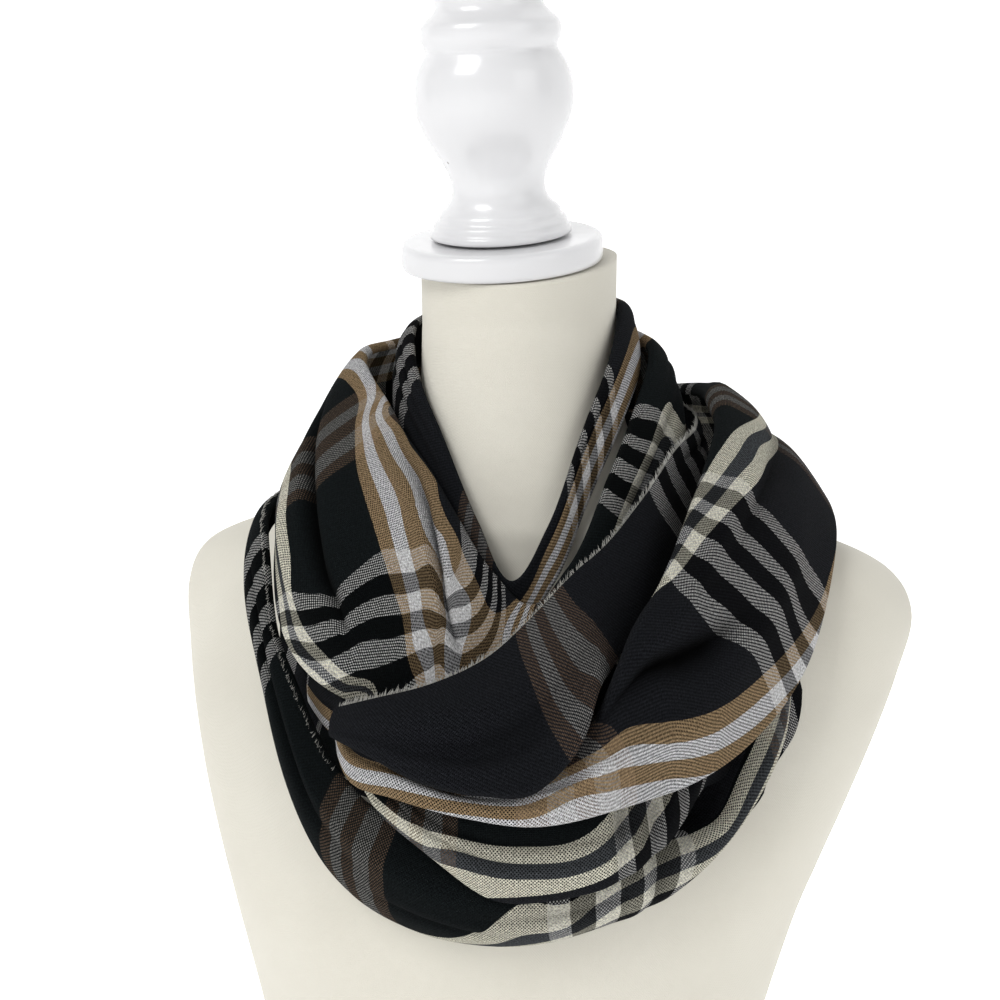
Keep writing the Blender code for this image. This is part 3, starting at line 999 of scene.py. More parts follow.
INNER = Stretch(
    name="inner_cowl_cloth",
    node="scarf_inner_cowl",
    closed=True,
    rows=(
        (-150, 75, 502, 91, 485, 93, 458, 3),
        (-110, 82, 496, 99, 474, 105, 444, 3),
        (-75, 84, 487, 102, 466, 113, 434, 3),
        (-55, 76, 469, 116, 441, 131, 403, 3),
        (-38, 77, 452, 120, 412, 145, 370, 3.5),
        (-25, 79, 438, 116, 396, 150, 357, 3.5),
        (-12, 85, 420, 112, 384, 145, 347, 3),
        (3, 96, 394, 115, 366, 136, 340, 2.6),
        (13, 102, 381, 116, 360, 129, 340, 2.6),
        (24, 97, 397, 108, 380, 117, 358, 2.6),
        (41, 84, 434, 94, 418, 101, 394, 2.6),
        (60, 76, 462, 86, 446, 91, 422, 3),
        (85, 73, 490, 83, 474, 87, 450, 3),
        (115, 69.8, 500, 81, 484, 86, 458, 3),
        (150, 73, 503, 86, 485, 89, 458, 3),
    ),
    folds=(
        Fold(0.30, 0.12, 2.0, -34, 20),
        Fold(0.80, 0.07, 3.0, -44, 18, 0.10),
        Fold(0.55, 0.14, -2.5, 62, 40, 0.05),
        Fold(0.72, 0.06, -3.0, 52, 14, 0.20),
        Fold(0.30, 0.06, -2.5, 118, 30, 0.10),
        Fold(0.68, 0.08, -3.0, -112, 34, -0.12),
        Fold(0.50, 0.14, -3.0, 180, 60),
    ),
    pins=(
        (-150, 5, 23, 42, 61, 84, 84, 84, 84),
        (-90, 10, 31, 59, 90, 76, 76, 76, 76),
        (-68, 27, 53, 81, 110, 66, 67, 68, 73),
        (-58, 21, 61, 90, 121, 59, 57, 62, 78),
        (-50, 2, 56, 85, 122, 54, 51, 64, 91),
        (-42, 5, 47, 80, 118, 48, 52, 77, 108),
        (-34, 3, 39, 67, 107, 43, 57, 73, 114),
        (-26, 3, 30, 57, 105, 39, 57, 77, 104),
        (-20, 2, 22, 49, 103, 33, 47, 76, 98),
        (-16, -1, 18, 41, 109, 29, 43, 72, 92),
        (-12, -4, 17, 27, 72, 26, 41, 70, 88),
        (-8, -3, 12, 22, 44, 24, 31, 68, 76),
        (-3, -10, 9, 9, 26, 13, 26, 55, 56),
        (6, -15, 6, 7, 25, 45, 46, 61, 60),
        (14, 37, 54, 70, 86, 102, 101, 101, 101),
        (24, 64, 79, 97, 114, 129, 124, 119, 117),
        (36, 76, 90, 108, 126, 140, 131, 122, 121),
        (48, 81, 94, 111, 127, 140, 130, 119, 121),
        (60, 80, 94, 109, 122, 140, 128, 117, 120),
        (72, 68, 94, 99, 110, 133, 127, 121, 121),
        (100, 41, 60, 75, 90, 123, 122, 122, 121),
        (150, 15, 33, 50, 67, 118, 118, 118, 118),
        (210, 5, 22, 40, 58, 112, 112, 112, 112),
    ),
    creases=(
        Crease(
            (
                (-56, 0.04, 0.03, 0.0),
                (-40, 0.07, 0.04, 2.6),
                (-27, 0.10, 0.04, 4.0),
                (-20, 0.15, 0.04, 4.6),
                (-15, 0.25, 0.04, 4.6),
                (-10.5, 0.38, 0.04, 4.2),
                (-8, 0.50, 0.04, 3.4),
                (-4.6, 0.62, 0.04, 2.0),
                (-1, 0.71, 0.04, 0.0),
            ),
            3.0,
        ),
        Crease(
            (
                (-44, 0.02, 0.03, 0.0),
                (-27, 0.05, 0.03, -4.6),
                (-20, 0.10, 0.03, -6.8),
                (-15, 0.19, 0.035, -7.6),
                (-10.5, 0.31, 0.035, -7.2),
                (-8, 0.43, 0.035, -5.6),
                (-4.6, 0.55, 0.035, -3.4),
                (-1, 0.64, 0.035, 0.0),
            ),
        ),
        Crease(
            (
                (-74, 0.42, 0.06, 0.0),
                (-61, 0.46, 0.06, -6.0),
                (-53, 0.50, 0.06, -9.0),
                (-47, 0.54, 0.06, -9.0),
                (-40, 0.60, 0.055, -8.0),
                (-35, 0.66, 0.05, -7.0),
                (-30, 0.70, 0.045, -5.0),
                (-26, 0.76, 0.04, -3.0),
                (-21, 0.88, 0.04, 0.0),
            ),
            0.7,
        ),
    ),
    flat=(0.09, 0.62),
    around=420,
    across=64,
)
CROSSING = Stretch(
    name="crossing_cloth",
    node="scarf_crossing",
    raw_top=True,
    rows=(
        (-21, 154, 345, 157, 340, 158, 335, 2),
        (-13, 154, 353, 160, 345, 164, 334, 2.5),
        (-4, 147, 360, 161, 347, 170, 329, 3),
        (5, 140, 371, 158, 351, 173, 327, 3),
        (13, 132, 387, 152, 366, 173, 330, 3),
        (19, 126, 399, 146, 380, 170, 351, 3),
        (22, 123, 404, 141, 386, 158, 365, 3),
        (26, 120, 409, 133, 392, 145, 370, 3),
        (40, 108, 428, 117, 410, 121, 388, 3),
        (60, 95, 446, 100, 433, 103, 414, 3),
        (85, 93, 455, 98, 443, 99, 428, 3),
        (118, 94, 462, 100, 449, 100, 430, 3),
        (155, 98, 472, 105, 456, 105, 430, 3),
        (190, 102, 474, 110, 457, 110, 432, 3),
        (215, 108, 464, 116, 449, 116, 430, 3),
        (235, 113, 444, 118, 437, 118, 427, 3),
        (252, 109, 427, 114, 423, 116, 418, 2.5),
        (264, 101, 425, 106, 423, 109, 419, 2.5),
    ),
    folds=(
        Fold(0.45, 0.16, 2.0, 2, 16, 0.15),
        Fold(0.70, 0.10, -2.5, 8, 14, -0.10),
        Fold(0.90, 0.05, 1.2, 4, 16),
        Fold(0.82, 0.05, -1.4, 4, 16),
        Fold(0.35, 0.08, -2.5, 96, 26, 0.10),
        Fold(0.50, 0.14, -3.0, 180, 40),
    ),
    pins=(
        (-21, 120, 126, 133, 139, 150, 148, 146, 144),
        (-10, 118, 130, 142, 153, 122, 118, 112, 106),
        (0, 117, 133, 148, 164, 103, 97, 88, 80),
        (8, 115, 133, 150, 168, 101, 94, 84, 75),
        (16, 116, 133, 150, 167, 106, 97, 87, 77),
        (24, 117, 133, 149, 164, 106, 97, 87, 78),
        (32, 118, 133, 148, 161, 104, 96, 87, 77),
        (42, 120, 134, 147, 160, 100, 96, 87, 77),
        (54, 122, 134, 147, 159, 93, 91, 84, 75),
        (70, 123, 135, 147, 159, 86, 85, 80, 76),
        (110, 124, 136, 148, 160, 81, 80, 80, 79),
        (264, 125, 136, 148, 159, 80, 80, 80, 80),
    ),
    flat=(0.05, 0.58),
    around=400,
    across=48,
)
RIGHT = Stretch(
    name="right_cowl_cloth",
    node="scarf_right_cowl",
    hem=0.7,
    rows=(
        (-41, 126, 350, 129, 341, 129, 330, 3),
        (-33, 130, 346, 133, 336, 133, 325, 3),
        (-27, 134, 342, 137, 333, 138, 323, 3),
        (-22, 143, 339, 148, 330, 149, 320, 3),
        (-18, 149, 337, 155, 327, 157, 317, 3),
        (-8, 155, 333, 163, 325, 166, 317, 3),
        (3, 157, 325, 166, 319, 169, 313, 3),
        (13, 158, 326, 168, 320, 172, 312, 3),
        (19, 160, 339, 170, 327, 174, 315.5, 3),
        (22, 162, 351, 171, 336, 175, 318, 3),
        (25, 161, 368, 171, 346, 175, 320, 3.5),
        (28, 156, 381, 169, 356, 175, 322, 4),
        (35, 146, 398, 165, 370, 173, 325, 4),
        (46, 132, 425, 158, 394, 171, 336, 4),
        (60, 119, 447, 150, 423, 169, 360, 5),
        (74, 113, 462, 141, 439, 165, 396, 5),
        (90, 108, 473, 134, 452, 160, 417, 7),
        (118, 111, 472, 130, 451, 140, 426, 5),
        (150, 120, 466, 132, 444, 130, 414, 4),
        (180, 124, 458, 136, 438, 132, 408, 4),
        (210, 128, 450, 138, 432, 136, 410, 4),
        (232, 132, 436, 138, 427, 137, 414, 3),
        (250, 128, 424, 132, 421, 134, 415, 3),
    ),
    folds=(
        Fold(0.22, 0.09, 3.0, 52, 22),
        Fold(0.72, 0.10, 3.0, 46, 24, -0.12),
        Fold(0.40, 0.06, -3.5, 66, 14, 0.30),
        Fold(0.30, 0.07, -4.0, 150, 30, -0.10),
        Fold(0.72, 0.06, -3.0, -128, 26, 0.10),
        Fold(0.50, 0.12, -4.0, 96, 26, 0.05),
        Fold(0.50, 0.14, -4.0, 180, 40),
    ),
    pins=(
        (-41, 158, 166, 176, 187, 177, 177, 177, 177),
        (-22, 160, 169, 178, 189, 155, 155, 155, 155),
        (-8, 164, 172, 182, 192, 134, 134, 134, 134),
        (3, 168, 177, 186, 196, 113, 113, 113, 113),
        (11, 168, 180, 189, 198, 103, 101, 101, 101),
        (18, 162, 181, 194, 201, 99, 93, 92, 91),
        (24, 148, 171, 188, 201, 100, 91, 85, 83),
        (30, 130, 155, 177, 200, 104, 94, 83, 76),
        (37, 112, 144, 170, 195, 109, 98, 79, 68),
        (45, 104, 136, 165, 192, 106, 93, 73, 60),
        (53, 96, 130, 160, 190, 101, 90, 71, 55),
        (61, 92, 123, 154, 185, 96, 87, 74, 55),
        (70, 88, 118, 145, 177, 92, 85, 71, 60),
        (84, 72, 105, 136, 168, 90, 85, 79, 74),
        (110, 59, 94, 129, 159, 88, 87, 87, 86),
        (150, 79, 103, 128, 151, 88, 88, 88, 89),
        (250, 86, 107, 128, 148, 88, 88, 88, 88),
    ),
    creases=(
        Crease(
            (
                (21, 0.05, 0.06, 0.0),
                (24.4, 0.14, 0.06, -3.0),
                (27.5, 0.24, 0.06, -6.0),
                (30.8, 0.33, 0.06, -8.5),
                (34.5, 0.42, 0.06, -9.5),
                (38.8, 0.51, 0.06, -8.5),
                (41.7, 0.56, 0.06, -6.0),
                (46, 0.61, 0.06, -3.0),
                (52, 0.66, 0.05, 0.0),
            ),
            1.6,
        ),
        Crease(
            (
                (10, 0.42, 0.05, 0.0),
                (18, 0.46, 0.05, 2.0),
                (24, 0.60, 0.06, 3.0),
                (30, 0.73, 0.07, 3.5),
                (38, 0.82, 0.07, 3.0),
                (48, 0.86, 0.07, 0.0),
            ),
            1.6,
        ),
        Crease(
            (
                (-36, 0.50, 0.10, 0.0),
                (-26, 0.48, 0.10, -2.0),
                (-12, 0.46, 0.10, -3.0),
                (2, 0.44, 0.10, -3.0),
                (12, 0.40, 0.10, 0.0),
            ),
        ),
    ),
    flat=(0.10, 0.70),
    around=420,
    across=66,
)
LOWER = Stretch(
    name="lower_fold_cloth",
    node="scarf_lower_fold",
    rows=(
        (-38, 127, 322, 131, 311, 131, 300, 2.5),
        (-30, 128, 325.2, 132, 313, 132, 301, 2.8),
        (-24, 131, 330, 135, 318, 135, 305, 3),
        (-18, 138, 330, 147, 321, 148, 311, 3),
        (-13, 142, 326, 151, 315, 155, 305, 3),
        (-3, 149, 315, 160, 301, 158, 287, 3),
        (6, 151, 314, 162, 294, 159, 272, 3),
        (16, 152, 314, 165, 295, 163, 274, 3),
        (26, 151, 319, 165, 301, 165, 282, 3),
        (36, 148, 334, 161, 317, 160, 298, 3),
        (40, 146, 340, 158, 325, 155, 306, 3),
        (43, 144, 346, 154, 329, 150, 307, 3),
        (50, 141, 356, 150, 339, 148, 311, 3),
        (58, 135, 376, 144, 362, 146, 346, 2.5),
        (68, 123, 404, 131, 400, 135, 395, 2.5),
    ),
    folds=(
        Fold(0.42, 0.12, -3.5, 6, 20, 0.12),
        Fold(0.40, 0.45, -3.4, 25.5, 1.5),
        Fold(0.60, 0.45, -3.4, 30.5, 1.7),
        Fold(0.45, 0.40, -3.0, 36.0, 1.8),
        Fold(0.62, 0.07, -2.5, 4, 18, 0.10),
    ),
    pins=(
        (-38, 66, 74, 82, 90, 166, 166, 166, 166),
        (-20, 69, 77, 85, 94, 166, 166, 166, 166),
        (-8, 70, 81, 89, 101, 166, 166, 166, 166),
        (2, 69, 84, 101, 111, 166, 166, 166, 166),
        (10, 69, 86, 103, 116, 166, 166, 166, 166),
        (18, 71, 87, 102, 118, 166, 166, 166, 166),
        (26, 82, 97, 107, 123, 166, 168, 168, 166),
        (34, 95, 108, 119, 133, 166, 167, 167, 166),
        (45, 109, 120, 132, 143, 166, 166, 166, 166),
        (68, 118, 126, 133, 141, 166, 166, 166, 166),
    ),
    flat=(0.06, 0.30),
    around=300,
    across=50,
)
BOTTOM = Stretch(
    name="bottom_roll_cloth",
    node="scarf_bottom_roll",
    hem=1.4,
    rows=(
        (-86, 99, 425, 105, 422, 111, 418, 2),
        (-72, 123, 421, 128, 417, 131, 411, 2.5),
        (-61, 135, 416, 140, 409, 141, 400, 2.5),
        (-50, 142, 398, 148.5, 388, 150, 375, 2.5),
        (-43, 146, 367, 151, 358, 151, 345, 2.5),
        (-36, 147, 345, 154, 328, 151, 304, 3),
        (-28, 146, 317, 156, 297, 150, 273, 3),
        (-20, 145, 299, 156, 279, 148, 256, 3.5),
        (-9, 142, 289, 157, 267, 140, 241, 4),
        (2, 141, 281, 156, 259, 136, 236, 4),
        (14, 143, 280, 157, 260, 139, 239, 4),
        (26, 147, 286, 161, 269, 146, 250, 4),
        (36, 148, 289, 162, 276, 150, 260, 3.5),
        (40, 153, 289, 163, 280, 151, 267, 3),
        (43, 159, 294, 165, 287, 153, 273, 3),
        (49, 160, 315, 167, 306, 158, 291, 3),
        (55, 159, 340, 167, 330, 162, 315, 3),
        (60, 154, 358, 161, 347, 158, 332, 3),
        (65, 146, 379, 153, 370, 152.2, 357, 3),
        (72, 138, 407, 146, 402, 148, 394, 2.5),
        (80, 126, 425, 134, 422, 138, 416, 2.5),
    ),
    folds=(
        Fold(0.42, 0.12, -4.5, -34, 13, 0.20),
        Fold(0.30, 0.12, 2.0, -18, 16),
        Fold(0.50, 0.14, -3.0, 16, 16, -0.05),
        Fold(0.70, 0.06, -2.5, -4, 12, 0.10),
        Fold(0.50, 0.45, -2.2, 32, 1.8),
        Fold(0.50, 0.40, 1.8, 29, 2.0),
    ),
    pins=(
        (-86, 40, 46, 52, 60, 207, 207, 207, 207),
        (-50, 40, 50, 60, 70, 207, 207, 207, 207),
        (-30, 40, 53, 66, 80, 205, 205, 205, 205),
        (-18, 43, 58, 72, 87, 203, 203, 203, 203),
        (-8, 50, 65, 79, 94, 201, 201, 201, 201),
        (2, 61, 79, 92, 104, 199, 200, 200, 199),
        (10, 70, 92, 100, 112, 197, 199, 198, 196),
        (18, 76, 91, 102, 117, 194, 197, 196, 193),
        (26, 80, 97, 112, 121, 190, 192, 192, 191),
        (36, 89, 101, 116, 125, 186, 188, 192, 191),
        (46, 94, 104, 114, 125, 187, 189, 192, 192),
        (56, 92, 103, 113, 124, 191, 192, 192, 192),
        (80, 93, 102, 111, 120, 195, 194, 193, 192),
    ),
    flat=(0.06, 0.50),
    around=400,
    across=54,
)
UNDER = Stretch(
    name="under_layer_cloth",
    node="scarf_under_layer",
    raw_top=True,
    hem=0.5,
    rows=(
        (-64, 116, 402, 120, 394, 126, 383, 2),
        (-58, 111, 401, 117, 384, 129, 350, 2),
        (-48, 112, 392, 118, 362, 134, 300, 2),
        (-40, 110, 386, 114, 345, 128, 292, 2),
        (-32, 108, 382, 113, 345, 123, 290, 2),
        (-24, 106, 377, 113, 338, 121, 290, 2),
        (-12, 104, 366, 113, 331, 120, 289, 2),
        (2, 102, 360, 111, 325, 114.8, 284, 2),
        (14, 102, 361, 114, 325, 120, 285, 2),
        (24, 104, 361, 116, 325, 126, 287, 2),
        (32, 103, 353, 118, 322, 131, 285, 2),
        (40, 108, 354, 122, 325, 137, 276, 2),
        (48, 117, 352, 130, 325, 146, 280, 2),
        (56, 126, 357, 139, 332, 152, 290, 2),
        (60, 139, 348, 147, 330, 155, 300, 2),
        (68, 153.5, 352, 158.5, 335, 165, 312, 2),
    ),
    folds=(
        Fold(0.45, 0.16, 1.5, -34, 16),
        Fold(0.55, 0.16, 1.5, 26, 12),
    ),
    pins=(
        (-64, 118, 128, 139, 150, 190, 190, 190, 190),
        (0, 118, 134, 150, 165, 130, 130, 130, 130),
        (60, 118, 132, 146, 160, 95, 95, 95, 95),
    ),
    flat=(0.09, 0.32),
    around=160,
    across=32,
)
STRETCHES = (UNDER, COLLAR, INNER, CROSSING, RIGHT, LOWER, BOTTOM)


@dataclass
class RawEdge:
    """Short loose yarn ends along a raw top hem.

    Attributes:
        name: the piece's name.
        stretch: the stretch whose top hem is raw.
        first: azimuth where the ends begin.
        last: azimuth where they stop.
        spacing: distance between neighbouring ends.
        length: an end's mean length.
        thick: its radius.
        seed: start of the random draws.
        joints: rings of points along an end.
        sides: points in a ring.
        sunk: how far its root lies inside the cloth.
        jitter: most that it strays along the hem, against the spacing.
        lean: spread of its lean along the hem.
        lift: mean and spread of its bend off the cloth.
        spans: shortest and longest end against the mean.
        taper: share of its radius lost at the tip.
        inside: points from the hem to the one that gives the way off it.
        ahead: distance to the point that gives the way along it.
    """

    name: str
    stretch: Stretch
    first: float
    last: float
    spacing: float = 0.5
    length: float = 3.2
    thick: float = 0.25
    seed: int = 7
    joints: int = 4
    sides: int = 3
    sunk: float = 0.5
    jitter: float = 0.4
    lean: float = 0.34
    lift: tuple[float, float] = (0.12, 0.22)
    spans: tuple[float, float] = (0.55, 1.35)
    taper: float = 0.94
    inside: int = 3
    ahead: float = 0.5

    @staticmethod
    def along_run(at: Array, run: Array, line: Array) -> Array:
        """Points of a line at given runs along it.

        Args:
            at: the runs wanted.
            run: the run at each of the line's points.
            line: the line's points.

        Returns:
            The points.
        """
        return np.stack([np.interp(at, run, line[:, k]) for k in range(3)], axis=1)

    def build(self, material: bpy.types.Material) -> bpy.types.Object:
        """The yarn ends' piece.

        Each end leaves the hem along the cloth, leans along the edge by a
        random share and bends off the surface by the square of its run. Its
        first and last ring are points, so it is closed.

        Args:
            material: the yarn ends' finish.

        Returns:
            The object.
        """
        azimuths = self.stretch.azimuths()
        places = self.stretch.places(azimuths)
        sett = self.stretch.sett(azimuths, self.stretch.cloth(azimuths, places))
        first = self.stretch.first_flat()
        edge, inside = places[:, first], places[:, first + self.inside]
        run = arc_length(edge, 0)
        begin, end = np.interp([self.first, self.last], azimuths, run)
        count = int((end - begin) / self.spacing)
        draw = np.random.default_rng(self.seed)
        stray = draw.uniform(-self.jitter, self.jitter, count)
        at = begin + (np.arange(count) + stray) * self.spacing
        at = np.clip(at, begin, end)
        root = self.along_run(at, run, edge)
        under = self.along_run(at, run, inside)
        ahead = self.along_run(at + self.ahead, run, edge) - root
        ahead /= np.linalg.norm(ahead, axis=1, keepdims=True) + 1e-9
        away = root - under
        away /= np.linalg.norm(away, axis=1, keepdims=True)
        off = np.cross(ahead, away)
        lean = draw.normal(0, self.lean, (count, 1))
        lift = draw.normal(*self.lift, (count, 1))
        long = self.length * draw.uniform(*self.spans, (count, 1))
        step = np.linspace(0, 1, self.joints)[None, :, None]
        path = root[:, None] - away[:, None] * self.sunk
        path = path + (away + ahead * lean)[:, None] * long[:, None] * step
        path = path + off[:, None] * (lift * long)[:, None] * step**2
        path = np.concatenate([path[:, :1], path, path[:, -1:]], axis=1)
        turn = np.arange(self.sides) * 2 * math.pi / self.sides
        thin = self.thick * (1 - self.taper * step[..., None] ** 3)
        thin = np.pad(thin, ((0, 0), (1, 1), (0, 0), (0, 0)))
        ring = np.cos(turn)[None, None, :, None] * ahead[:, None, None]
        ring = ring + np.sin(turn)[None, None, :, None] * off[:, None, None]
        points = path[:, :, None] + ring * thin
        rings = self.joints + 2
        one = grid_faces(rings, self.sides, capped=True)[:, ::-1]
        shift = np.arange(count)[:, None, None] * rings * self.sides
        faces = (one[None] + shift).reshape(-1, 4)
        corners = np.zeros((count, len(one), 4, 2))
        corners[..., 0] = np.interp(at, run, sett[:, first, 0])[:, None, None]
        maps = {"sett": corners.reshape(-1, 2)}
        return close_poles(add_piece(self.name, points.reshape(-1, 3), faces, material, maps))


RAW_EDGES = (
    RawEdge("crossing_raw_edge", CROSSING, -20, 262),
    RawEdge("bottom_raw_edge", BOTTOM, -74, -25, seed=11),
)


@dataclass
class DressForm:
    """The limbless form in its cotton cover, with its neck cap and finial.

    Attributes:
        around: points in a level section.
        steps: sections from the base to the neck.
        neck_top_z: height of the neck's top at its middle.
        neck_half: half its width there.
        neck_front: how far it reaches forward.
        neck_back: how far it reaches back.
        neck_lean: how far its top slopes down towards the front.
        neck_tilt: how far it slopes sideways.
        neck_blend: sections from the last row to the neck's top.
        end_shares: an end's rings against its outline, the last a point.
        cap_shift: the cap's middle, sideways.
        cap_radius: its radius.
        cap_height: its height.
        cap_foot: size of its lower bevel.
        cap_brow: size of its upper one.
        small: gap between pieces that stand on each other.
        turn_steps: points round a turned piece.
        rounds: how often a turned outline's corners are cut.
        rows: section rows: height, half width, shift, front, back, squareness.
        finial_rows: the finial's outline: radius and height.
    """

    around: int = 160
    steps: int = 150
    neck_top_z: float = 540.0
    neck_half: float = 50.0
    neck_front: float = 58.0
    neck_back: float = 38.0
    neck_lean: float = math.radians(14.0)
    neck_tilt: float = math.radians(-0.5)
    neck_blend: int = 10
    end_shares: tuple[float, ...] = (0.985, 0.6, 0.25, 0.0)
    cap_shift: float = -7.0
    cap_radius: float = 51.0
    cap_height: float = 13.0
    cap_foot: float = 1.4
    cap_brow: float = 2.0
    small: float = 0.3
    turn_steps: int = 128
    rounds: int = 2
    rows: tuple[tuple[float, ...], ...] = (
        (0, 128, -6, 94, 84, 2.1),
        (45, 130, -6, 97, 82, 2.1),
        (120, 138, -5, 108, 82, 2.2),
        (200, 154, -3, 121, 90, 2.3),
        (240, 165, -1, 123, 95, 2.3),
        (272, 175, 1, 116, 98, 2.3),
        (304, 185, 3, 103, 100, 2.2),
        (332, 192, 5, 89, 100, 2.05),
        (362, 196, 7, 76, 98, 1.9),
        (384, 185, 6, 67, 93, 1.85),
        (398, 156, 4, 64, 86, 1.85),
        (408, 114, 2, 63, 78, 2.0),
        (420, 80, 0, 60, 68, 2.0),
        (446, 60, 0, 56, 57, 2.0),
        (475, 52, 0, 54, 50, 2.0),
        (506, 50, 0, 54, 44, 2.0),
    )
    finial_rows: tuple[tuple[float, float], ...] = (
        (35.5, 0.0),
        (35.5, 4.0),
        (33.5, 5.5),
        (33.5, 8.5),
        (30.5, 10.0),
        (30.5, 13.0),
        (24.5, 17.5),
        (22.5, 25.0),
        (25.0, 34.0),
        (32.5, 46.0),
        (38.0, 58.0),
        (39.0, 69.0),
        (36.5, 80.0),
        (31.0, 87.5),
        (32.5, 90.0),
        (34.0, 94.0),
        (33.2, 99.5),
        (29.0, 102.5),
        (25.0, 106.5),
        (25.5, 114.0),
        (23.5, 122.0),
        (14.0, 130.0),
    )

    def section(self, row: Array) -> Array:
        """A level section, a squared oval: each half axis times the 2/square
        power of the turn's sine or cosine.

        Args:
            row: height, half width, shift, front, back and squareness.

        Returns:
            Its points.
        """
        z, half, shift, front, back, square = row
        turn = np.arange(self.around) * 2 * math.pi / self.around
        side = np.sign(np.sin(turn)) * np.abs(np.sin(turn)) ** (2 / square)
        deep = np.sign(-np.cos(turn)) * np.abs(np.cos(turn)) ** (2 / square)
        depth = np.where(deep < 0, front, back)
        return np.stack([shift + half * side, depth * deep, np.full(self.around, z)], axis=1)

    def build_body(self, material: bpy.types.Material) -> bpy.types.Object:
        """The form, lofted from base to neck, with flat ends.

        Args:
            material: the cotton.

        Returns:
            The object.
        """
        keys = np.arange(len(self.rows))
        at = np.linspace(0, len(self.rows) - 1, self.steps)
        sections = [self.section(row) for row in smooth_rows(keys, self.rows, at)]
        neck = self.section((0, self.neck_half, 0, self.neck_front, self.neck_back, 2.0))
        rise = np.tan(self.neck_lean) * neck[:, 1] - np.tan(self.neck_tilt) * neck[:, 0]
        neck[:, 2] = self.neck_top_z + rise
        for share in np.arange(1, self.neck_blend + 1) / self.neck_blend:
            sections.append(sections[self.steps - 1] * (1 - share) + neck * share)
        low, high = sections[0], sections[-1]
        for share in self.end_shares:
            sections.insert(0, low.mean(0) + (low - low.mean(0)) * share)
            sections.append(high.mean(0) + (high - high.mean(0)) * share)
        points = np.stack(sections)
        faces = grid_faces(*points.shape[:2], capped=True)
        return close_poles(add_piece("form_cover", points.reshape(-1, 3), faces, material))

    def seat(self, lift: float) -> tuple[Array, Array]:
        """Place and turn of something turned that stands on the neck.

        Args:
            lift: its height over the neck's slope, along the lean.

        Returns:
            The place, and the three axes as rows.
        """
        centre_y = (self.neck_back - self.neck_front) / 2
        rise = math.tan(self.neck_lean) * centre_y - math.tan(self.neck_tilt) * self.cap_shift
        base_lift = self.small / math.cos(self.neck_lean)
        place = np.array([self.cap_shift, centre_y, self.neck_top_z + rise + base_lift])
        ca, sa = math.cos(self.neck_lean), math.sin(self.neck_lean)
        cb, sb = math.cos(self.neck_tilt), math.sin(self.neck_tilt)
        turn = np.array([[cb, 0, -sb], [sb * sa, ca, cb * sa], [sb * ca, -sa, cb * ca]])
        return place + turn[2] * lift, turn

    def turned(
        self, name: str, outline: Array, lift: float, material: bpy.types.Material
    ) -> bpy.types.Object:
        """A solid turned from a profile of (radius, height).

        Args:
            name: the piece's name.
            outline: the profile, foot first.
            lift: its foot over the neck.
            material: the paint.

        Returns:
            The object.
        """
        place, axes = self.seat(lift)
        angle = np.arange(self.turn_steps) * 2 * math.pi / self.turn_steps
        radius, height = outline[:, 0][:, None], outline[:, 1][:, None]
        local = np.stack(
            [radius * np.cos(angle), radius * np.sin(angle), height + 0 * angle], axis=2
        )
        points = place + local @ axes
        faces = grid_faces(*points.shape[:2], capped=True)
        return close_poles(add_piece(name, points.reshape(-1, 3), faces, material))

    @staticmethod
    def rounded(outline: Array, rounds: int) -> Array:
        """A profile with its corners cut, twice as fine each round.

        Each side is kept from a quarter to three quarters of its length, which
        tends to a quadratic spline. The ends stay.

        Args:
            outline: the profile.
            rounds: how often the corners are cut.

        Returns:
            The finer profile.
        """
        for _ in range(rounds):
            near = outline[:-1] * 0.75 + outline[1:] * 0.25
            far = outline[:-1] * 0.25 + outline[1:] * 0.75
            middle = np.stack([near, far], axis=1).reshape(-1, 2)
            outline = np.concatenate([outline[:1], middle, outline[-1:]])
        return outline

    def build_cap(self, material: bpy.types.Material) -> bpy.types.Object:
        """The disc on the neck."""
        r, h, foot, brow = self.cap_radius, self.cap_height, self.cap_foot, self.cap_brow
        edge = [(r - foot, 0.0), (r, foot), (r, h / 2), (r, h - brow), (r - brow, h)]
        rows = [(0.0, 0.0), *edge, (r - 3 * brow, h), (r * 0.6, h), (0.0, h)]
        outline = self.rounded(np.array(rows), self.rounds)
        return self.turned("neck_cap_paint", outline, 0.0, material)

    def build_finial(self, material: bpy.types.Material) -> bpy.types.Object:
        """The turned finial on the disc."""
        rows = [(0.0, 0.0), *self.finial_rows, (0.0, self.finial_rows[-1][1])]
        outline = self.rounded(np.array(rows), self.rounds)
        return self.turned("finial_paint", outline, self.cap_height + self.small, material)


@dataclass(frozen=True)
class SoftBox:
    """A square area light: its name, place, side in metres and watts."""

    name: str
    place: tuple[float, float, float]
    size: float
    power: float


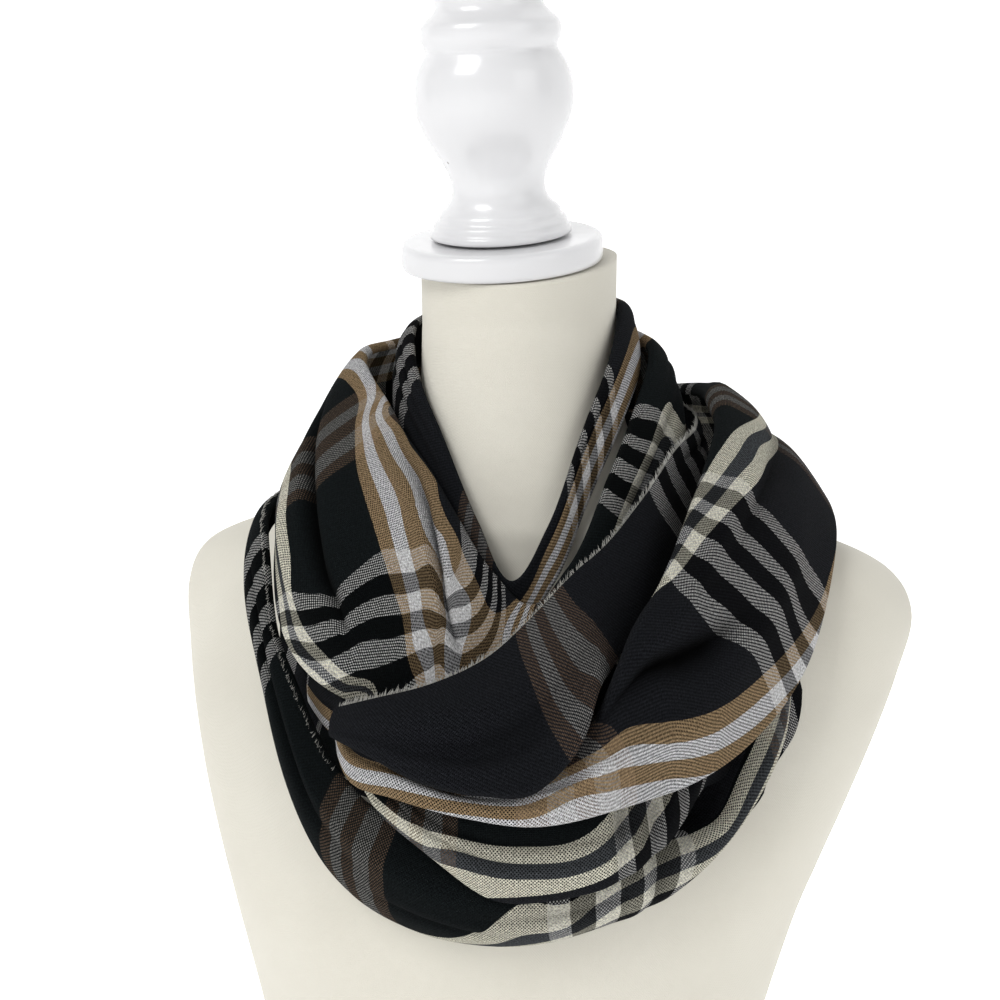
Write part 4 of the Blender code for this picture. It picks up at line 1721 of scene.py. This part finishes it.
@dataclass
class Studio:
    """Pale floor, soft light and the camera, in metres.

    Attributes:
        boxes: the lights.
        light_aim: where they point.
        sky_strength: strength of the white surroundings.
        floor_size: the floor's width, and twice the wall's height.
        floor_drop: how far it lies under the form's base.
        sweep_back: where the floor begins to curve up.
        sweep_bend: radius of the curve.
        sweep_glow: its own light.
        camera_out: the camera's distance from the neck's axis.
        camera_z: its height.
        camera_az: its azimuth.
        camera_aim: its turn about the upright.
        camera_pitch: how far it looks down.
        lens: its focal length, in millimetres.
        sensor: its sensor's width, in millimetres.
    """

    boxes: tuple[SoftBox, ...] = (
        SoftBox("key_box", (-0.8, -1.3, 1.8), 0.9, 19.0),
        SoftBox("fill_box", (1.6, -1.1, 1.1), 1.2, 5.0),
    )
    light_aim: tuple[float, float, float] = (0.0, -0.05, 0.40)
    sky_strength: float = 0.36
    floor_size: float = 30.0
    floor_drop: float = 0.4 * MM
    sweep_back: float = 1.2
    sweep_bend: float = 1.6
    sweep_glow: float = 0.55
    camera_out: float = 0.605
    camera_z: float = 0.520
    camera_az: float = math.radians(10.0)
    camera_aim: float = math.radians(10.95)
    camera_pitch: float = math.radians(10.0)
    lens: float = 41.4
    sensor: float = 36.0

    def build_floor(self) -> None:
        """A pale floor that curves up into a pale wall, no part of the object.

        The floor runs back level, then through a quarter circle, then up.
        """
        turn = np.radians(np.linspace(0, 90, 25))
        bend, back, half = self.sweep_bend, self.sweep_back, self.floor_size / 2
        y = np.concatenate([[-half], back + bend * np.sin(turn), [back + bend]])
        z = np.concatenate([[0], bend * (1 - np.cos(turn)), [half]])
        rows = [np.stack([np.full(len(y), side), y, z], axis=1) for side in (-half, half)]
        sketch = Sketch("pale_floor")
        sketch.shader.inputs["Base Color"].default_value = (0.93, 0.93, 0.93, 1.0)
        sketch.finish(0.9, Emission_Strength=self.sweep_glow)
        sketch.shader.inputs["Emission Color"].default_value = (1.0, 1.0, 1.0, 1.0)
        points = (np.stack(rows) - np.array([0, 0, self.floor_drop])).reshape(-1, 3) / MM
        faces = grid_faces(2, len(y))[:, ::-1]
        floor = add_piece("floor", points, faces, sketch.material)

    def build_light(self) -> None:
        """White surroundings and two soft boxes."""
        world = bpy.data.worlds.new("studio")
        world.use_nodes = True
        sky = world.node_tree.nodes["Background"]
        sky.inputs["Color"].default_value = (1.0, 1.0, 1.0, 1.0)
        sky.inputs["Strength"].default_value = self.sky_strength
        bpy.context.scene.world = world
        bpy.context.scene.view_settings.view_transform = "Standard"
        for box in self.boxes:
            self.hang(box)

    def hang(self, box: SoftBox) -> None:
        """A soft box turned towards the scarf.

        Args:
            box: the light.
        """
        light = bpy.data.lights.new(box.name, "AREA")
        light.size = box.size
        light.energy = box.power
        lamp = bpy.data.objects.new(box.name, light)
        lamp.location = box.place
        aim = np.array(self.light_aim) - np.array(box.place)
        flat = math.hypot(aim[0], aim[1])
        lamp.rotation_euler = (math.atan2(flat, -aim[2]), 0.0, math.atan2(-aim[0], aim[1]))
        bpy.context.scene.collection.objects.link(lamp)

    def build_camera(self) -> None:
        """The camera at the photograph's angle."""
        data = bpy.data.cameras.new("camera")
        data.lens = self.lens
        data.sensor_width = self.sensor
        camera = bpy.data.objects.new("camera", data)
        out = self.camera_out
        camera.location = (
            out * math.sin(self.camera_az),
            -out * math.cos(self.camera_az),
            self.camera_z,
        )
        camera.rotation_euler = (math.pi / 2 - self.camera_pitch, 0.0, self.camera_aim)
        bpy.context.scene.collection.objects.link(camera)
        bpy.context.scene.camera = camera


def main() -> None:
    """Build the form, the scarf and the studio, and report each piece."""
    logging.basicConfig(level=logging.INFO, format="%(name)s %(message)s")
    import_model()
    studio = Studio()
    studio.build_camera()
    studio.build_floor()
    studio.build_light()
    form = DressForm()
    cotton = FormCloth().build()
    paint = GlossPaint().build()
    place_piece(form.build_body(cotton), "form_cloth", "form_body")
    place_piece(form.build_cap(paint), "white_paint", "neck_cap")
    place_piece(form.build_finial(paint), "white_paint", "finial")
    weave = PlaidCloth()
    plaid = weave.build()
    ends = weave.build_ends()
    trimmed = {}
    for edge in RAW_EDGES:
        trim = edge.build(ends)
        place_piece(trim, "scarf_cloth")
        trimmed[edge.stretch.name] = [trim]
    for stretch in STRETCHES:
        piece = stretch.build(plaid)
        stretch.dress(piece, ["form_cover"], trimmed.get(stretch.name, []))


if __name__ == "__main__":
    main()
